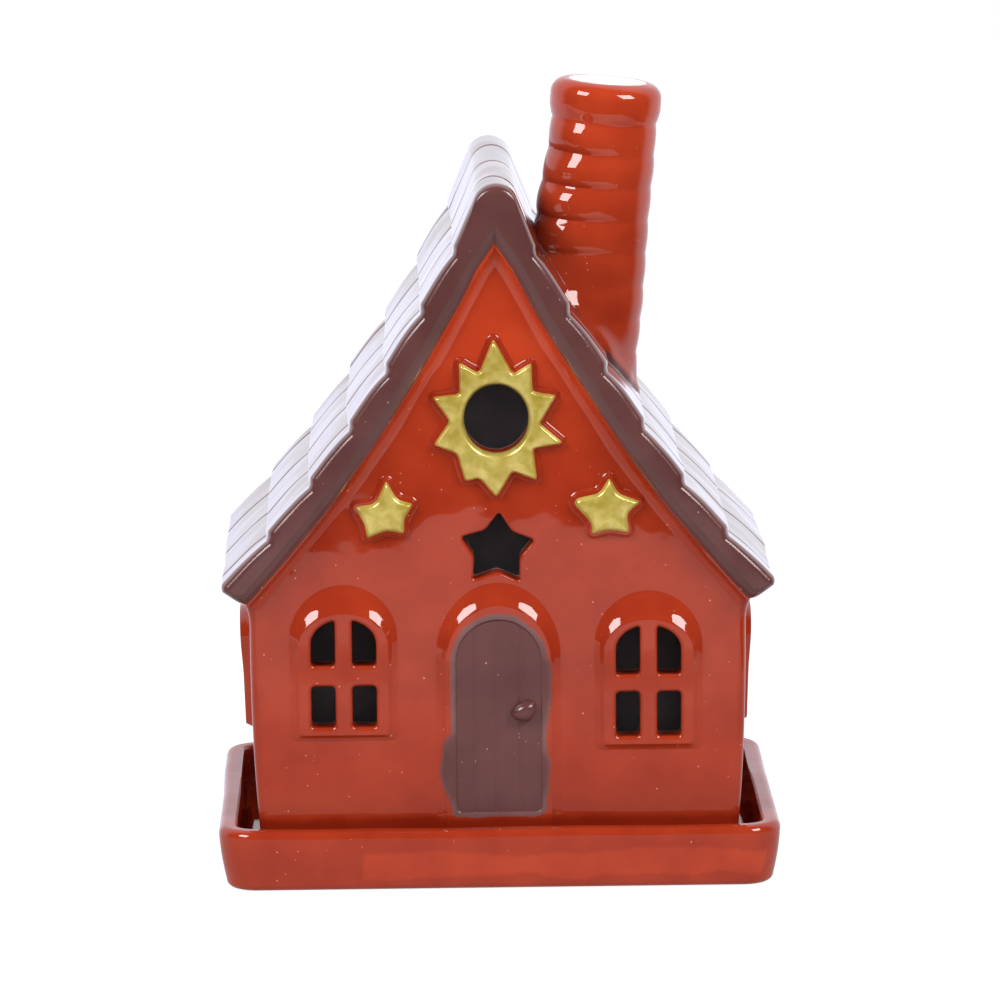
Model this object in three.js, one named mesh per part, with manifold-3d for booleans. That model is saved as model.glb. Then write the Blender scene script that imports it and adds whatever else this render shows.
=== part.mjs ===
// House-shaped incense cone burner in glazed earthenware. A gabled house with a round chimney lifts off a
// rectangular tray, and a small brass dish on the tray holds the burning cone.
// Millimetres, +Z up, the front of the house faces -Y, and the origin is the middle of the tray's underside.
import * as THREE from "three";
import { mergeVertices } from "three/addons/utils/BufferGeometryUtils.js";
import Module from "manifold-3d";

// Tray
const TRAY_FLOOR = 4; // thickness of the floor
const TRAY_HEIGHT = 13; // underside to rim
const TRAY_RIM = 3.7; // thickness of the upstanding rim
const TRAY_GAP = 4.6; // free space between the house and the rim
const TRAY_CORNER = 7.5; // outer corner radius in plan
const TRAY_EDGE = 2.2; // rounding of the rim and of the foot
const TRAY_FILLET = 2; // rounding where the floor turns up into the rim

// Cone dish
const DISH_RADIUS = 17;
const DISH_FOOT = 11; // radius of the flat foot
const DISH_HEIGHT = 4.5;
const DISH_WALL = 1.2;

// House walls
const HOUSE_WIDTH = 94; // outside, at the base
const HOUSE_DEPTH = 68;
const WALL = 5; // thickness
const WALL_FLARE = 1.6; // lean of each side wall, out towards the eaves
const EAVE_HEIGHT = 52.8; // base of the walls to the underside of the eaves
const COVE_HEIGHT = 5; // the side walls curve out under the eaves over this height
const COVE_REACH = 2; // how far the cove follows the end of the roof
const SLIP_JOINT = 0.3; // bed of slip between two pieces that are luted together

// Door
const DOOR_SILL = 10.2; // base of the walls to the foot of the door
const DOOR_WIDTH = 16.4;
const DOOR_JAMB = 30.3; // straight side of the door, below its round head
const DOOR_PROUD = 1.2; // the leaf stands this far out of the wall
const DOOR_PLANKS = 4;
const PLANK_GROOVE = 0.5; // width and depth of the grooves between planks
const DOOR_BORDER = 4.3; // width of the surround at each side of the leaf
const DOOR_HOOD = 6.3; // height of the hood above the leaf
const DOOR_HOOD_LIP = 1.2; // flat strip between the leaf's head and the hood's slope
const DOOR_FIT = 0.4; // clearance of the leaf in its surround
const DOOR_FOOT_GAP = 0.6; // the surround stops this far above the base of the walls
const KNOB_RADIUS = 1.9;
const KNOB_STAND = 0.7; // the knob's centre stands this far out of the leaf
const KNOB_OUT = 4.4; // sideways from the middle of the door
const KNOB_UP = 20; // above the foot of the door

// Windows
const PANE_WIDTH = 5.1;
const MULLION = 3.3;
const TRANSOM = 3.4;
const WINDOW_BORDER = 4.1; // width of the surround at each side of the panes
const WINDOW_SILL_BORDER = 2.4; // height of the surround under the panes
const SURROUND_PROUD = 2.3; // how far the surrounds stand out of the wall
const SURROUND_DRAFT = 1.1; // the surrounds' sides draw in by this much on the way out
const FRONT_SILL = 26.4; // base of the walls to the foot of the panes
const FRONT_LOWER_PANE = 9.3;
const FRONT_UPPER_PANE = 10.1; // to the crown of the arch
const FRONT_ARCH = 4.9; // rise of the arch within the upper panes
const FRONT_HOOD = 6.2; // height of the hood above the panes
const FRONT_HOOD_LIP = 1.2;
const RIGHT_WINDOW_DROP = 1.6; // the right front window sits this much lower
const SIDE_HEAD_GAP = 0.3; // hood of a side window to the foot of the cove
const SIDE_LOWER_PANE = 6.4;
const SIDE_UPPER_PANE = 8;
const SIDE_ARCH = 4;
const SIDE_HOOD = 3;
const SIDE_HOOD_LIP = 1;

// Gable ornaments, stacked upwards from the hood of the door
const STAR_POINTS = 5;
const STAR_HOLE_RADIUS = 7.5;
const STAR_HOLE_GAP = 1.4; // door hood to the lower tips of the star-shaped hole
const STAR_WAIST = 0.54; // inner radius of a star, as a share of its outer radius
const GOLD_STAR_RADIUS = 6.8;
const GOLD_STAR_OUT = 21.9; // sideways from the middle of the gable
const GOLD_STAR_LIFT = 7.9; // above the middle of the star-shaped hole
const STAR_PROUD = 2;
const STAR_FACE = 0.72; // the star's face, as a share of its outline
const SUN_GAP = 3; // upper tip of the star-shaped hole to the sun's lowest ray
const SUN_HOLE_RADIUS = 6.3;
const SUN_VALLEY = 9.3; // radius between two rays
const SUN_RAY = 13.3; // radius at a ray's tip
const SUN_LONG_RAY = 15.7; // radius at the top and bottom tips
const SUN_RAYS = 10;
const SUN_PROUD = 2;
const SUN_FACE = 0.8; // the sun's face, as a share of its width beyond the hole

// Roof
const APEX_GAP = 18.2; // the sun's highest ray to the inside of the ridge
const ROOF_THICKNESS = 7; // square to the slope
const ROOF_OVERHANG = 4.5; // beyond the gable walls, front and back
const EAVE_OVERHANG = 1; // beyond the side walls, down the slope
const ROOF_SAG = 2.7; // the slopes are hollow by this much between ridge and eave
const ROOF_COURSES = 7; // rows of shingles on each slope
const RIDGE_COURSE = 15.7; // length of the row beside the ridge
const RIDGE_ROLL = 6.2; // radius of the round ridge
const RIDGE_RISE = 0.6; // the round ridge stands this far above the meeting of the slopes
const RIDGE_TURN = THREE.MathUtils.degToRad(79); // the ridge rounds over this far to each side
const COURSE_STEP = 1.5; // each row ends this far above the next
const COURSE_NOSE = 0.5; // rounding of a row's lower edge
const COURSE_CROWN = 0.4; // a row is this low where its curve eases, a third of the way down
const EAVE_ROUND = 1.6; // rounding of the roof's lower edge
const ROOF_COLUMNS = 4; // shingles in a row, front to back
const GROOVE_WIDTH = 1;
const GROOVE_DEPTH = 0.7;

// Chimney
const CHIMNEY_RADIUS = 10.8;
const CHIMNEY_WALL = 3.3; // between the outside and the flue
const CHIMNEY_COLLAR = 6.8; // height of the collar at the top
const CHIMNEY_COLLAR_PROUD = 0.4; // the collar stands this far out of the chimney
const CHIMNEY_RING = 6.6; // height of each ring below the collar
const CHIMNEY_RING_GROOVE = 0.4; // depth of the grooves between rings
const CHIMNEY_EDGE = 1.5; // rounding of the mouth
const CHIMNEY_LEAN = THREE.MathUtils.degToRad(5); // towards +X
const CHIMNEY_OUT = 23.3; // middle of the mouth, sideways from the ridge
const CHIMNEY_RISE = 15.4; // ridge to the middle of the mouth

// Fineness of round shapes
const ARC_STEPS = 10;
const ROUND_STEPS = 36;
const EDGE_STEPS = 2;
const CUT_CLEAR = 1; // cutting shapes run past what they cut by this much
const SAME_POINT = 1e-4; // corners closer than this are one corner

// Glazes and metal
const RED_GLAZE = { color: 0xae341c, roughness: 0.12, metalness: 0 };
const BROWN_GLAZE = { color: 0x6a3e3b, roughness: 0.22, metalness: 0 };
const GOLD_LUSTRE = { color: 0xb8923f, roughness: 0.32, metalness: 0.9 };
const BRASS = { color: 0xb59a4c, roughness: 0.35, metalness: 1 };

// Places worked out from the sizes above
const HALF_WIDTH = HOUSE_WIDTH / 2;
const WALL_FRONT = -HOUSE_DEPTH / 2;
const BASE = TRAY_FLOOR;
const EAVE = BASE + EAVE_HEIGHT;
const EAVE_HALF_WIDTH = HALF_WIDTH + WALL_FLARE;
const DOOR_FOOT = BASE + DOOR_SILL;
const DOOR_SPRING = DOOR_FOOT + DOOR_JAMB;
const DOOR_HALF = DOOR_WIDTH / 2;
const DOOR_HOOD_TOP = DOOR_SPRING + DOOR_HALF + DOOR_HOOD;
const STAR_HOLE = DOOR_HOOD_TOP + STAR_HOLE_GAP + STAR_HOLE_RADIUS * Math.cos(Math.PI / STAR_POINTS);
const SUN = STAR_HOLE + STAR_HOLE_RADIUS + SUN_GAP + SUN_LONG_RAY;
const APEX = SUN + SUN_LONG_RAY + APEX_GAP;
const PITCH = Math.atan2(APEX - EAVE, EAVE_HALF_WIDTH);
const RIDGE = APEX + ROOF_THICKNESS / Math.cos(PITCH);
const RIDGE_TOP = RIDGE + RIDGE_RISE;
const ROOF_DEPTH = HOUSE_DEPTH + 2 * ROOF_OVERHANG;
const SLOPE_LENGTH = EAVE_HALF_WIDTH / Math.cos(PITCH) + ROOF_THICKNESS * Math.tan(PITCH) + EAVE_OVERHANG;
const PANES_HALF = PANE_WIDTH + MULLION / 2;
const WINDOW_OUT = (HALF_WIDTH + DOOR_HALF + DOOR_BORDER) / 2;
const SIDE_HEAD = EAVE_HEIGHT - COVE_HEIGHT - SIDE_HEAD_GAP - SIDE_HOOD;
const SIDE_SILL = SIDE_HEAD - SIDE_UPPER_PANE - TRANSOM - SIDE_LOWER_PANE;
const CHIMNEY_TOP = RIDGE_TOP + CHIMNEY_RISE;
const FLUE_RADIUS = CHIMNEY_RADIUS - CHIMNEY_WALL;

const wasm = await Module();
wasm.setup();

/** A closed geometry as a solid that can be joined and cut. */
function solidOf(geometry) {
  const bare = geometry.clone();
  bare.deleteAttribute("normal");
  bare.deleteAttribute("uv");
  const merged = mergeVertices(bare, SAME_POINT);
  return new wasm.Manifold(
    new wasm.Mesh({
      numProp: 3,
      vertProperties: merged.attributes.position.array,
      triVerts: new Uint32Array(merged.index.array),
    }),
  );
}

/** A solid as a geometry again. */
function geometryOf(solid) {
  const mesh = solid.getMesh();
  return new THREE.BufferGeometry()
    .setAttribute("position", new THREE.BufferAttribute(mesh.vertProperties, 3))
    .setIndex(new THREE.BufferAttribute(mesh.triVerts, 1));
}

/** The first geometry with the others joined to it. */
function join(first, ...others) {
  return geometryOf(others.reduce((body, other) => body.add(solidOf(other)), solidOf(first)));
}

/** A geometry with every tool cut out of it. */
function cut(body, ...tools) {
  return geometryOf(tools.reduce((rest, tool) => rest.subtract(solidOf(tool)), solidOf(body)));
}

/** A box between two corners. */
function boxBetween(low, high) {
  return new THREE.BoxGeometry(high[0] - low[0], high[1] - low[1], high[2] - low[2]).translate(
    (low[0] + high[0]) / 2,
    (low[1] + high[1]) / 2,
    (low[2] + high[2]) / 2,
  );
}

/** An outline drawn in X and Z, carried from y = back to y = front, where front is the smaller. */
function frontPrism(shape, back, front) {
  return new THREE.ExtrudeGeometry(shape, {
    depth: back - front,
    bevelEnabled: false,
    curveSegments: ARC_STEPS,
  })
    .rotateX(Math.PI / 2)
    .translate(0, back, 0);
}

/** A prism whose front face is drawn in: drawIn gives the place at the front of a point of the outline. */
function relief(shape, back, front, drawIn) {
  const geometry = frontPrism(shape, back, front);
  const position = geometry.attributes.position;
  for (let i = 0; i < position.count; i += 1) {
    if (position.getY(i) < (back + front) / 2) {
      const [x, z] = drawIn(position.getX(i), position.getZ(i));
      position.setX(i, x);
      position.setZ(i, z);
    }
  }
  return geometry;
}

/** A closed outline from its corners. */
function polygon(corners) {
  return new THREE.Shape(corners.map(([x, z]) => new THREE.Vector2(x, z)));
}

/** An outline that is the same on both sides, from the corners of its right half. */
function mirrored(rightHalf) {
  const leftHalf = rightHalf.filter(([x]) => x > SAME_POINT).map(([x, z]) => [-x, z]);
  return polygon([...rightHalf, ...leftHalf.reverse()]);
}

/** An arch: straight sides up to the spring, then half an ellipse. */
function arch({ x, halfWidth, foot, spring, rise }) {
  const shape = new THREE.Shape();
  shape.moveTo(x - halfWidth, foot);
  shape.lineTo(x + halfWidth, foot);
  shape.lineTo(x + halfWidth, spring);
  shape.absellipse(x, spring, halfWidth, rise, 0, Math.PI, false, 0);
  return shape;
}

/** A star-like outline of alternating tips and valleys, the first tip upwards. */
function star(x, z, tips, valley) {
  const step = Math.PI / tips.length;
  return polygon(
    tips.flatMap((tip, i) => {
      const angle = Math.PI / 2 + 2 * i * step;
      return [
        [x + tip * Math.cos(angle), z + tip * Math.sin(angle)],
        [x + valley * Math.cos(angle + step), z + valley * Math.sin(angle + step)],
      ];
    }),
  );
}

/** A rectangle with round corners, centred on the origin. */
function roundedRectangle(width, depth, radius) {
  const [w, d] = [width / 2 - radius, depth / 2 - radius];
  const shape = new THREE.Shape();
  shape.absarc(w, d, radius, 0, Math.PI / 2);
  shape.absarc(-w, d, radius, Math.PI / 2, Math.PI);
  shape.absarc(-w, -d, radius, Math.PI, 1.5 * Math.PI);
  shape.absarc(w, -d, radius, 1.5 * Math.PI, 2 * Math.PI);
  return shape;
}

/** A block from z = low to z = high with that outline, and with its top and bottom edges rounded. */
function roundedBlock(shape, low, high, edge) {
  return new THREE.ExtrudeGeometry(shape, {
    depth: high - low - 2 * edge,
    bevelThickness: edge,
    bevelSize: edge,
    bevelOffset: -edge,
    bevelSegments: EDGE_STEPS,
    curveSegments: ARC_STEPS / 2,
  }).translate(0, 0, low + edge);
}

/** A surround for a door or window: an arched boss whose top slopes out from the wall as a hood. */
function surround({ x, halfWidth, foot, spring, rise, faceRise, back, proud }) {
  const faceHalf = halfWidth - SURROUND_DRAFT;
  return relief(arch({ x, halfWidth, foot, spring, rise }), back, back - proud, (px, pz) => [
    x + ((px - x) * faceHalf) / halfWidth,
    pz > spring ? spring + ((pz - spring) * faceRise) / rise : Math.max(pz, foot + SURROUND_DRAFT),
  ]);
}

/** The four panes of a window as one cutting shape, from y = back to y = front. */
function panes({ x, sill, lowerPane, upperPane, archRise }, back, front) {
  const head = sill + lowerPane + TRANSOM + upperPane;
  const field = arch({ x, halfWidth: PANES_HALF, foot: sill, spring: head - archRise, rise: archRise });
  const [near, far] = [front - CUT_CLEAR, back + CUT_CLEAR];
  const bar = boxBetween([x - MULLION / 2, near, sill - CUT_CLEAR], [x + MULLION / 2, far, head + CUT_CLEAR]);
  const transom = boxBetween(
    [x - PANES_HALF - CUT_CLEAR, near, sill + lowerPane],
    [x + PANES_HALF + CUT_CLEAR, far, sill + lowerPane + TRANSOM],
  );
  return cut(frontPrism(field, back, front), bar, transom);
}

/** A window's surround with its panes cut out, on a wall face at y = back. */
function windowSurround(window, back) {
  const head = window.sill + window.lowerPane + TRANSOM + window.upperPane;
  const spring = head - window.archRise;
  const boss = surround({
    x: window.x,
    halfWidth: PANES_HALF + WINDOW_BORDER,
    foot: window.sill - WINDOW_SILL_BORDER,
    spring,
    rise: window.archRise + window.hood,
    faceRise: window.archRise + window.hoodLip,
    back,
    proud: SURROUND_PROUD,
  });
  return cut(boss, panes(window, back + CUT_CLEAR, back - SURROUND_PROUD - CUT_CLEAR));
}

const frontWindow = (x, sill) => ({
  x,
  sill,
  lowerPane: FRONT_LOWER_PANE,
  upperPane: FRONT_UPPER_PANE,
  archRise: FRONT_ARCH,
  hood: FRONT_HOOD,
  hoodLip: FRONT_HOOD_LIP,
});
const LEFT_WINDOW = frontWindow(-WINDOW_OUT, BASE + FRONT_SILL);
const RIGHT_WINDOW = frontWindow(WINDOW_OUT, BASE + FRONT_SILL - RIGHT_WINDOW_DROP);
const SIDE_WINDOW = {
  x: 0,
  sill: SIDE_SILL,
  lowerPane: SIDE_LOWER_PANE,
  upperPane: SIDE_UPPER_PANE,
  archRise: SIDE_ARCH,
  hood: SIDE_HOOD,
  hoodLip: SIDE_HOOD_LIP,
};

/** Carries a shape drawn on y = 0, with z from the base, onto the leaning right (1) or left (-1) wall. */
function sideWallPlace(side) {
  const lean = Math.atan2(WALL_FLARE, EAVE_HEIGHT - COVE_HEIGHT);
  return new THREE.Matrix4()
    .makeTranslation(side * HALF_WIDTH, 0, BASE)
    .multiply(new THREE.Matrix4().makeRotationY(side * lean))
    .multiply(new THREE.Matrix4().makeRotationZ((side * Math.PI) / 2));
}

/** How far the slopes sag below a straight line from ridge to eave, at a distance down the slope. */
function sag(down) {
  const share = THREE.MathUtils.clamp((down - RIDGE_COURSE) / (SLOPE_LENGTH - RIDGE_COURSE), 0, 1);
  return 4 * ROOF_SAG * share * (1 - share);
}

/** A point of the right roof slope, from its distance down the slope and its height square to it. */
function onSlope(down, out) {
  const height = out - sag(down);
  return [
    down * Math.cos(PITCH) + height * Math.sin(PITCH),
    RIDGE - down * Math.sin(PITCH) + height * Math.cos(PITCH),
  ];
}

/** The right half of the roof's underside, from the apex down to a place on the slope, lowered by a gap. */
function underside(slopeEnd, gap) {
  const line = [[0, APEX - gap / Math.cos(PITCH)]];
  for (let i = 0; i <= ARC_STEPS; i += 1) {
    line.push(onSlope(RIDGE_COURSE + (i / ARC_STEPS) * (slopeEnd - RIDGE_COURSE), -ROOF_THICKNESS - gap));
  }
  return line;
}

/** The right half of the roof's skin from ridge to eave: a round ridge, then overlapping convex rows. */
function roofSkin(inset) {
  const rollCentre = RIDGE_TOP - RIDGE_ROLL;
  const rollRadius = RIDGE_ROLL - inset;
  const skin = [];
  for (let i = 0; i <= ARC_STEPS / 2; i += 1) {
    const turn = (i / (ARC_STEPS / 2)) * RIDGE_TURN;
    skin.push([rollRadius * Math.sin(turn), rollCentre + rollRadius * Math.cos(turn)]);
  }
  const rowLength = (SLOPE_LENGTH - RIDGE_COURSE) / (ROOF_COURSES - 1);
  for (let row = 1; row < ROOF_COURSES; row += 1) {
    const top = RIDGE_COURSE + (row - 1) * rowLength;
    skin.push(onSlope(top - COURSE_NOSE, -inset));
    skin.push(onSlope(top, -COURSE_NOSE - inset));
    skin.push(onSlope(top, -COURSE_STEP - inset));
    skin.push(onSlope(top + rowLength / 3, -COURSE_CROWN - inset));
  }
  skin.push(onSlope(SLOPE_LENGTH - EAVE_ROUND, -inset));
  skin.push(onSlope(SLOPE_LENGTH, -EAVE_ROUND - inset));
  return skin;
}

/** The outline of the roof slab: its skin outside, and two plain slopes inside. */
function roofOutline(inset) {
  const eaveFoot = onSlope(SLOPE_LENGTH, EAVE_ROUND / 2 - ROOF_THICKNESS);
  return mirrored([...roofSkin(inset), eaveFoot, ...underside(SLOPE_LENGTH - EAVE_ROUND / 2, 0).reverse()]);
}

/** The walls' outline under the roof: leaning sides, a cove below the eaves, and the gable's two slopes. */
function wallOutline() {
  const slopeFoot = SLOPE_LENGTH + SLIP_JOINT;
  const coveTop = onSlope(slopeFoot, COVE_REACH - ROOF_THICKNESS);
  const coveFoot = [EAVE_HALF_WIDTH, EAVE - COVE_HEIGHT];
  const coveMiddle = [(coveFoot[0] + coveTop[0]) / 2 - COVE_REACH / 5, (coveFoot[1] + coveTop[1]) / 2];
  const rightHalf = [...underside(slopeFoot, SLIP_JOINT), coveTop, coveMiddle, coveFoot, [HALF_WIDTH, BASE]];
  return mirrored(rightHalf.reverse());
}

function makeTray() {
  const inner = [HOUSE_WIDTH + 2 * TRAY_GAP, HOUSE_DEPTH + 2 * TRAY_GAP];
  const outer = inner.map((size) => size + 2 * TRAY_RIM);
  const block = roundedBlock(roundedRectangle(...outer, TRAY_CORNER), 0, TRAY_HEIGHT, TRAY_EDGE);
  const hollowTop = TRAY_HEIGHT + TRAY_FILLET + CUT_CLEAR;
  const hollowShape = roundedRectangle(...inner, TRAY_CORNER - TRAY_RIM);
  return cut(block, roundedBlock(hollowShape, TRAY_FLOOR, hollowTop, TRAY_FILLET));
}

function makeConeDish() {
  const profile = [
    [0, 0],
    [DISH_FOOT, 0],
    [DISH_RADIUS, DISH_HEIGHT],
    [DISH_RADIUS - DISH_WALL, DISH_HEIGHT],
    [DISH_FOOT - DISH_WALL / 2, DISH_WALL],
    [0, DISH_WALL],
  ].map(([r, h]) => new THREE.Vector2(r, h));
  return join(new THREE.LatheGeometry(profile, ROUND_STEPS).rotateX(Math.PI / 2).translate(0, 0, TRAY_FLOOR));
}

function makeWallShell() {
  const inside = boxBetween(
    [WALL - HALF_WIDTH, WALL_FRONT + WALL, BASE - CUT_CLEAR],
    [HALF_WIDTH - WALL, -WALL_FRONT - WALL, RIDGE],
  );
  const [back, front] = [WALL_FRONT + WALL + CUT_CLEAR, WALL_FRONT - CUT_CLEAR];
  const sunHole = new THREE.Shape().absarc(0, SUN, SUN_HOLE_RADIUS, 0, 2 * Math.PI);
  const starTips = Array(STAR_POINTS).fill(STAR_HOLE_RADIUS);
  const starHole = star(0, STAR_HOLE, starTips, STAR_HOLE_RADIUS * STAR_WAIST);
  const sideWall = WALL + WALL_FLARE + CUT_CLEAR;
  const sidePanes = [1, -1].map((side) =>
    panes(SIDE_WINDOW, sideWall, -CUT_CLEAR).applyMatrix4(sideWallPlace(side)),
  );
  return cut(
    frontPrism(wallOutline(), -WALL_FRONT, WALL_FRONT),
    inside,
    panes(LEFT_WINDOW, back, front),
    panes(RIGHT_WINDOW, back, front),
    frontPrism(sunHole, back, front),
    frontPrism(starHole, back, front),
    ...sidePanes,
  );
}

/** The chimney's axis placed: a shape drawn with its top at the origin moves to the mouth and leans. */
function atChimney(geometry) {
  return geometry.rotateY(CHIMNEY_LEAN).translate(CHIMNEY_OUT, 0, CHIMNEY_TOP);
}

function flue() {
  const length = 2 * (CHIMNEY_TOP - EAVE);
  return atChimney(
    new THREE.CylinderGeometry(FLUE_RADIUS, FLUE_RADIUS, length, ROUND_STEPS).rotateX(Math.PI / 2),
  );
}

function makeRoofShell() {
  const columnPitch = (ROOF_DEPTH + GROOVE_WIDTH) / ROOF_COLUMNS;
  const bed = frontPrism(roofOutline(GROOVE_DEPTH), ROOF_DEPTH / 2, -ROOF_DEPTH / 2);
  const columns = Array.from({ length: ROOF_COLUMNS }, (_, i) => {
    const front = -ROOF_DEPTH / 2 + i * columnPitch;
    return frontPrism(roofOutline(0), front + columnPitch - GROOVE_WIDTH, front);
  });
  return cut(join(bed, ...columns), flue());
}

function makeChimney() {
  const length = CHIMNEY_TOP - EAVE;
  const waist = CHIMNEY_RADIUS - CHIMNEY_RING_GROOVE;
  const collarRadius = CHIMNEY_RADIUS + CHIMNEY_COLLAR_PROUD;
  const outside = [
    [collarRadius - CHIMNEY_EDGE, 0],
    [collarRadius, -CHIMNEY_EDGE],
    [collarRadius, CHIMNEY_COLLAR_PROUD - CHIMNEY_COLLAR],
    [waist, -CHIMNEY_COLLAR],
  ];
  for (let top = CHIMNEY_COLLAR; top + CHIMNEY_RING < length; top += CHIMNEY_RING) {
    outside.push([CHIMNEY_RADIUS, -top - CHIMNEY_RING / 3]);
    outside.push([CHIMNEY_RADIUS, -top - (2 * CHIMNEY_RING) / 3]);
    outside.push([waist, -top - CHIMNEY_RING]);
  }
  outside.push([waist, -length], [FLUE_RADIUS, -length]);
  const inside = [
    [FLUE_RADIUS, -CHIMNEY_EDGE / 2],
    [FLUE_RADIUS + CHIMNEY_EDGE / 2, 0],
  ];
  const profile = [...outside, ...inside, outside[0]].reverse().map(([r, h]) => new THREE.Vector2(r, h));
  const tube = atChimney(new THREE.LatheGeometry(profile, ROUND_STEPS).rotateX(Math.PI / 2));
  const belowSkin = mirrored([...roofSkin(0), [EAVE_HALF_WIDTH, BASE], [0, BASE]]);
  const underRoof = () => frontPrism(belowSkin, ROOF_DEPTH / 2, -ROOF_DEPTH / 2);
  const out = [SLIP_JOINT * Math.sin(PITCH), SLIP_JOINT * Math.cos(PITCH)];
  const down = [SLIP_JOINT * Math.cos(PITCH), -SLIP_JOINT * Math.sin(PITCH)];
  return cut(
    tube,
    underRoof().translate(out[0], 0, out[1]),
    underRoof().translate(out[0] + down[0], 0, out[1] + down[1]),
  );
}

function makeDoorSurround() {
  const halfWidth = DOOR_HALF + DOOR_BORDER;
  const boss = surround({
    x: 0,
    halfWidth,
    foot: BASE + DOOR_FOOT_GAP,
    spring: DOOR_SPRING,
    rise: DOOR_HALF + DOOR_HOOD,
    faceRise: DOOR_HALF + DOOR_HOOD_LIP,
    back: WALL_FRONT,
    proud: SURROUND_PROUD,
  });
  const opening = arch({
    x: 0,
    halfWidth: DOOR_HALF + DOOR_FIT,
    foot: DOOR_FOOT - DOOR_FIT,
    spring: DOOR_SPRING,
    rise: DOOR_HALF + DOOR_FIT,
  });
  return cut(boss, frontPrism(opening, WALL_FRONT + CUT_CLEAR, WALL_FRONT - SURROUND_PROUD - CUT_CLEAR));
}

function makeDoorLeaf() {
  const face = WALL_FRONT - DOOR_PROUD;
  const outline = arch({ x: 0, halfWidth: DOOR_HALF, foot: DOOR_FOOT, spring: DOOR_SPRING, rise: DOOR_HALF });
  const grooves = Array.from({ length: DOOR_PLANKS - 1 }, (_, i) => {
    const x = -DOOR_HALF + ((i + 1) * DOOR_WIDTH) / DOOR_PLANKS;
    return boxBetween(
      [x - PLANK_GROOVE / 2, face - CUT_CLEAR, DOOR_FOOT - CUT_CLEAR],
      [x + PLANK_GROOVE / 2, face + PLANK_GROOVE, DOOR_SPRING + DOOR_HALF],
    );
  });
  return cut(frontPrism(outline, WALL_FRONT, face), ...grooves);
}

function makeDoorKnob() {
  const face = WALL_FRONT - DOOR_PROUD;
  const ball = new THREE.SphereGeometry(KNOB_RADIUS, ROUND_STEPS / 3, ROUND_STEPS / 4);
  const reach = 2 * KNOB_RADIUS;
  const [x, z] = [KNOB_OUT, DOOR_FOOT + KNOB_UP];
  return cut(
    ball.translate(x, face - KNOB_STAND, z),
    boxBetween([x - reach, face, z - reach], [x + reach, face + reach, z + reach]),
  );
}

function makeSunRing() {
  const upright = (ray) => ray % (SUN_RAYS / 2) === 0;
  const tips = Array.from({ length: SUN_RAYS }, (_, ray) => (upright(ray) ? SUN_LONG_RAY : SUN_RAY));
  const shape = star(0, SUN, tips, SUN_VALLEY);
  shape.holes.push(new THREE.Path().absarc(0, SUN, SUN_HOLE_RADIUS, 0, 2 * Math.PI, true));
  return join(
    relief(shape, WALL_FRONT, WALL_FRONT - SUN_PROUD, (x, z) => {
      const radius = Math.hypot(x, z - SUN);
      const share = (SUN_HOLE_RADIUS + (radius - SUN_HOLE_RADIUS) * SUN_FACE) / radius;
      return [x * share, SUN + (z - SUN) * share];
    }),
  );
}

function makeGoldStar(side) {
  const [x, z] = [side * GOLD_STAR_OUT, STAR_HOLE + GOLD_STAR_LIFT];
  const shape = star(x, z, Array(STAR_POINTS).fill(GOLD_STAR_RADIUS), GOLD_STAR_RADIUS * STAR_WAIST);
  return join(
    relief(shape, WALL_FRONT, WALL_FRONT - STAR_PROUD, (px, pz) => [
      x + (px - x) * STAR_FACE,
      z + (pz - z) * STAR_FACE,
    ]),
  );
}

/** A named piece, shaded flat, in its own finish. */
function piece(name, geometry, finish) {
  const faceted = geometry.toNonIndexed();
  faceted.computeVertexNormals();
  const mesh = new THREE.Mesh(faceted, new THREE.MeshStandardMaterial(finish));
  mesh.name = name;
  return mesh;
}

/** A side wall's window surround, which stands on the leaning wall with a bed of slip under it. */
function sideSurround(name, side) {
  const mesh = piece(name, windowSurround(SIDE_WINDOW, -SLIP_JOINT), RED_GLAZE);
  mesh.applyMatrix4(sideWallPlace(side));
  return mesh;
}

const house = new THREE.Group();
house.add(
  piece("wall_shell", makeWallShell(), RED_GLAZE),
  piece("roof_shell", makeRoofShell(), BROWN_GLAZE),
  piece("chimney", makeChimney(), RED_GLAZE),
  piece("door_surround", makeDoorSurround(), RED_GLAZE),
  piece("door_leaf", makeDoorLeaf(), BROWN_GLAZE),
  piece("door_knob", makeDoorKnob(), BROWN_GLAZE),
  piece("front_window_surround_left", windowSurround(LEFT_WINDOW, WALL_FRONT), RED_GLAZE),
  piece("front_window_surround_right", windowSurround(RIGHT_WINDOW, WALL_FRONT), RED_GLAZE),
  sideSurround("side_window_surround_left", -1),
  sideSurround("side_window_surround_right", 1),
  piece("sun_ring", makeSunRing(), GOLD_LUSTRE),
  piece("gold_star_left", makeGoldStar(-1), GOLD_LUSTRE),
  piece("gold_star_right", makeGoldStar(1), GOLD_LUSTRE),
);

const burner = new THREE.Group();
burner.add(piece("tray", makeTray(), RED_GLAZE), piece("cone_dish", makeConeDish(), BRASS), house);

export default burner;
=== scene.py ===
"""Looks of a house-shaped incense cone burner in glazed pottery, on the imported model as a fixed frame.

Sizes in the classes are millimetres, and a finished mesh is in metres. The house faces -Y, and X runs to the
right of someone who faces its door.
"""

from __future__ import annotations

import logging
import math
from dataclasses import dataclass, replace
from enum import Enum
from typing import Callable, Iterable, Sequence

import bmesh
import bpy
from mathutils import Matrix, Vector, noise
from mathutils.kdtree import KDTree


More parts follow.
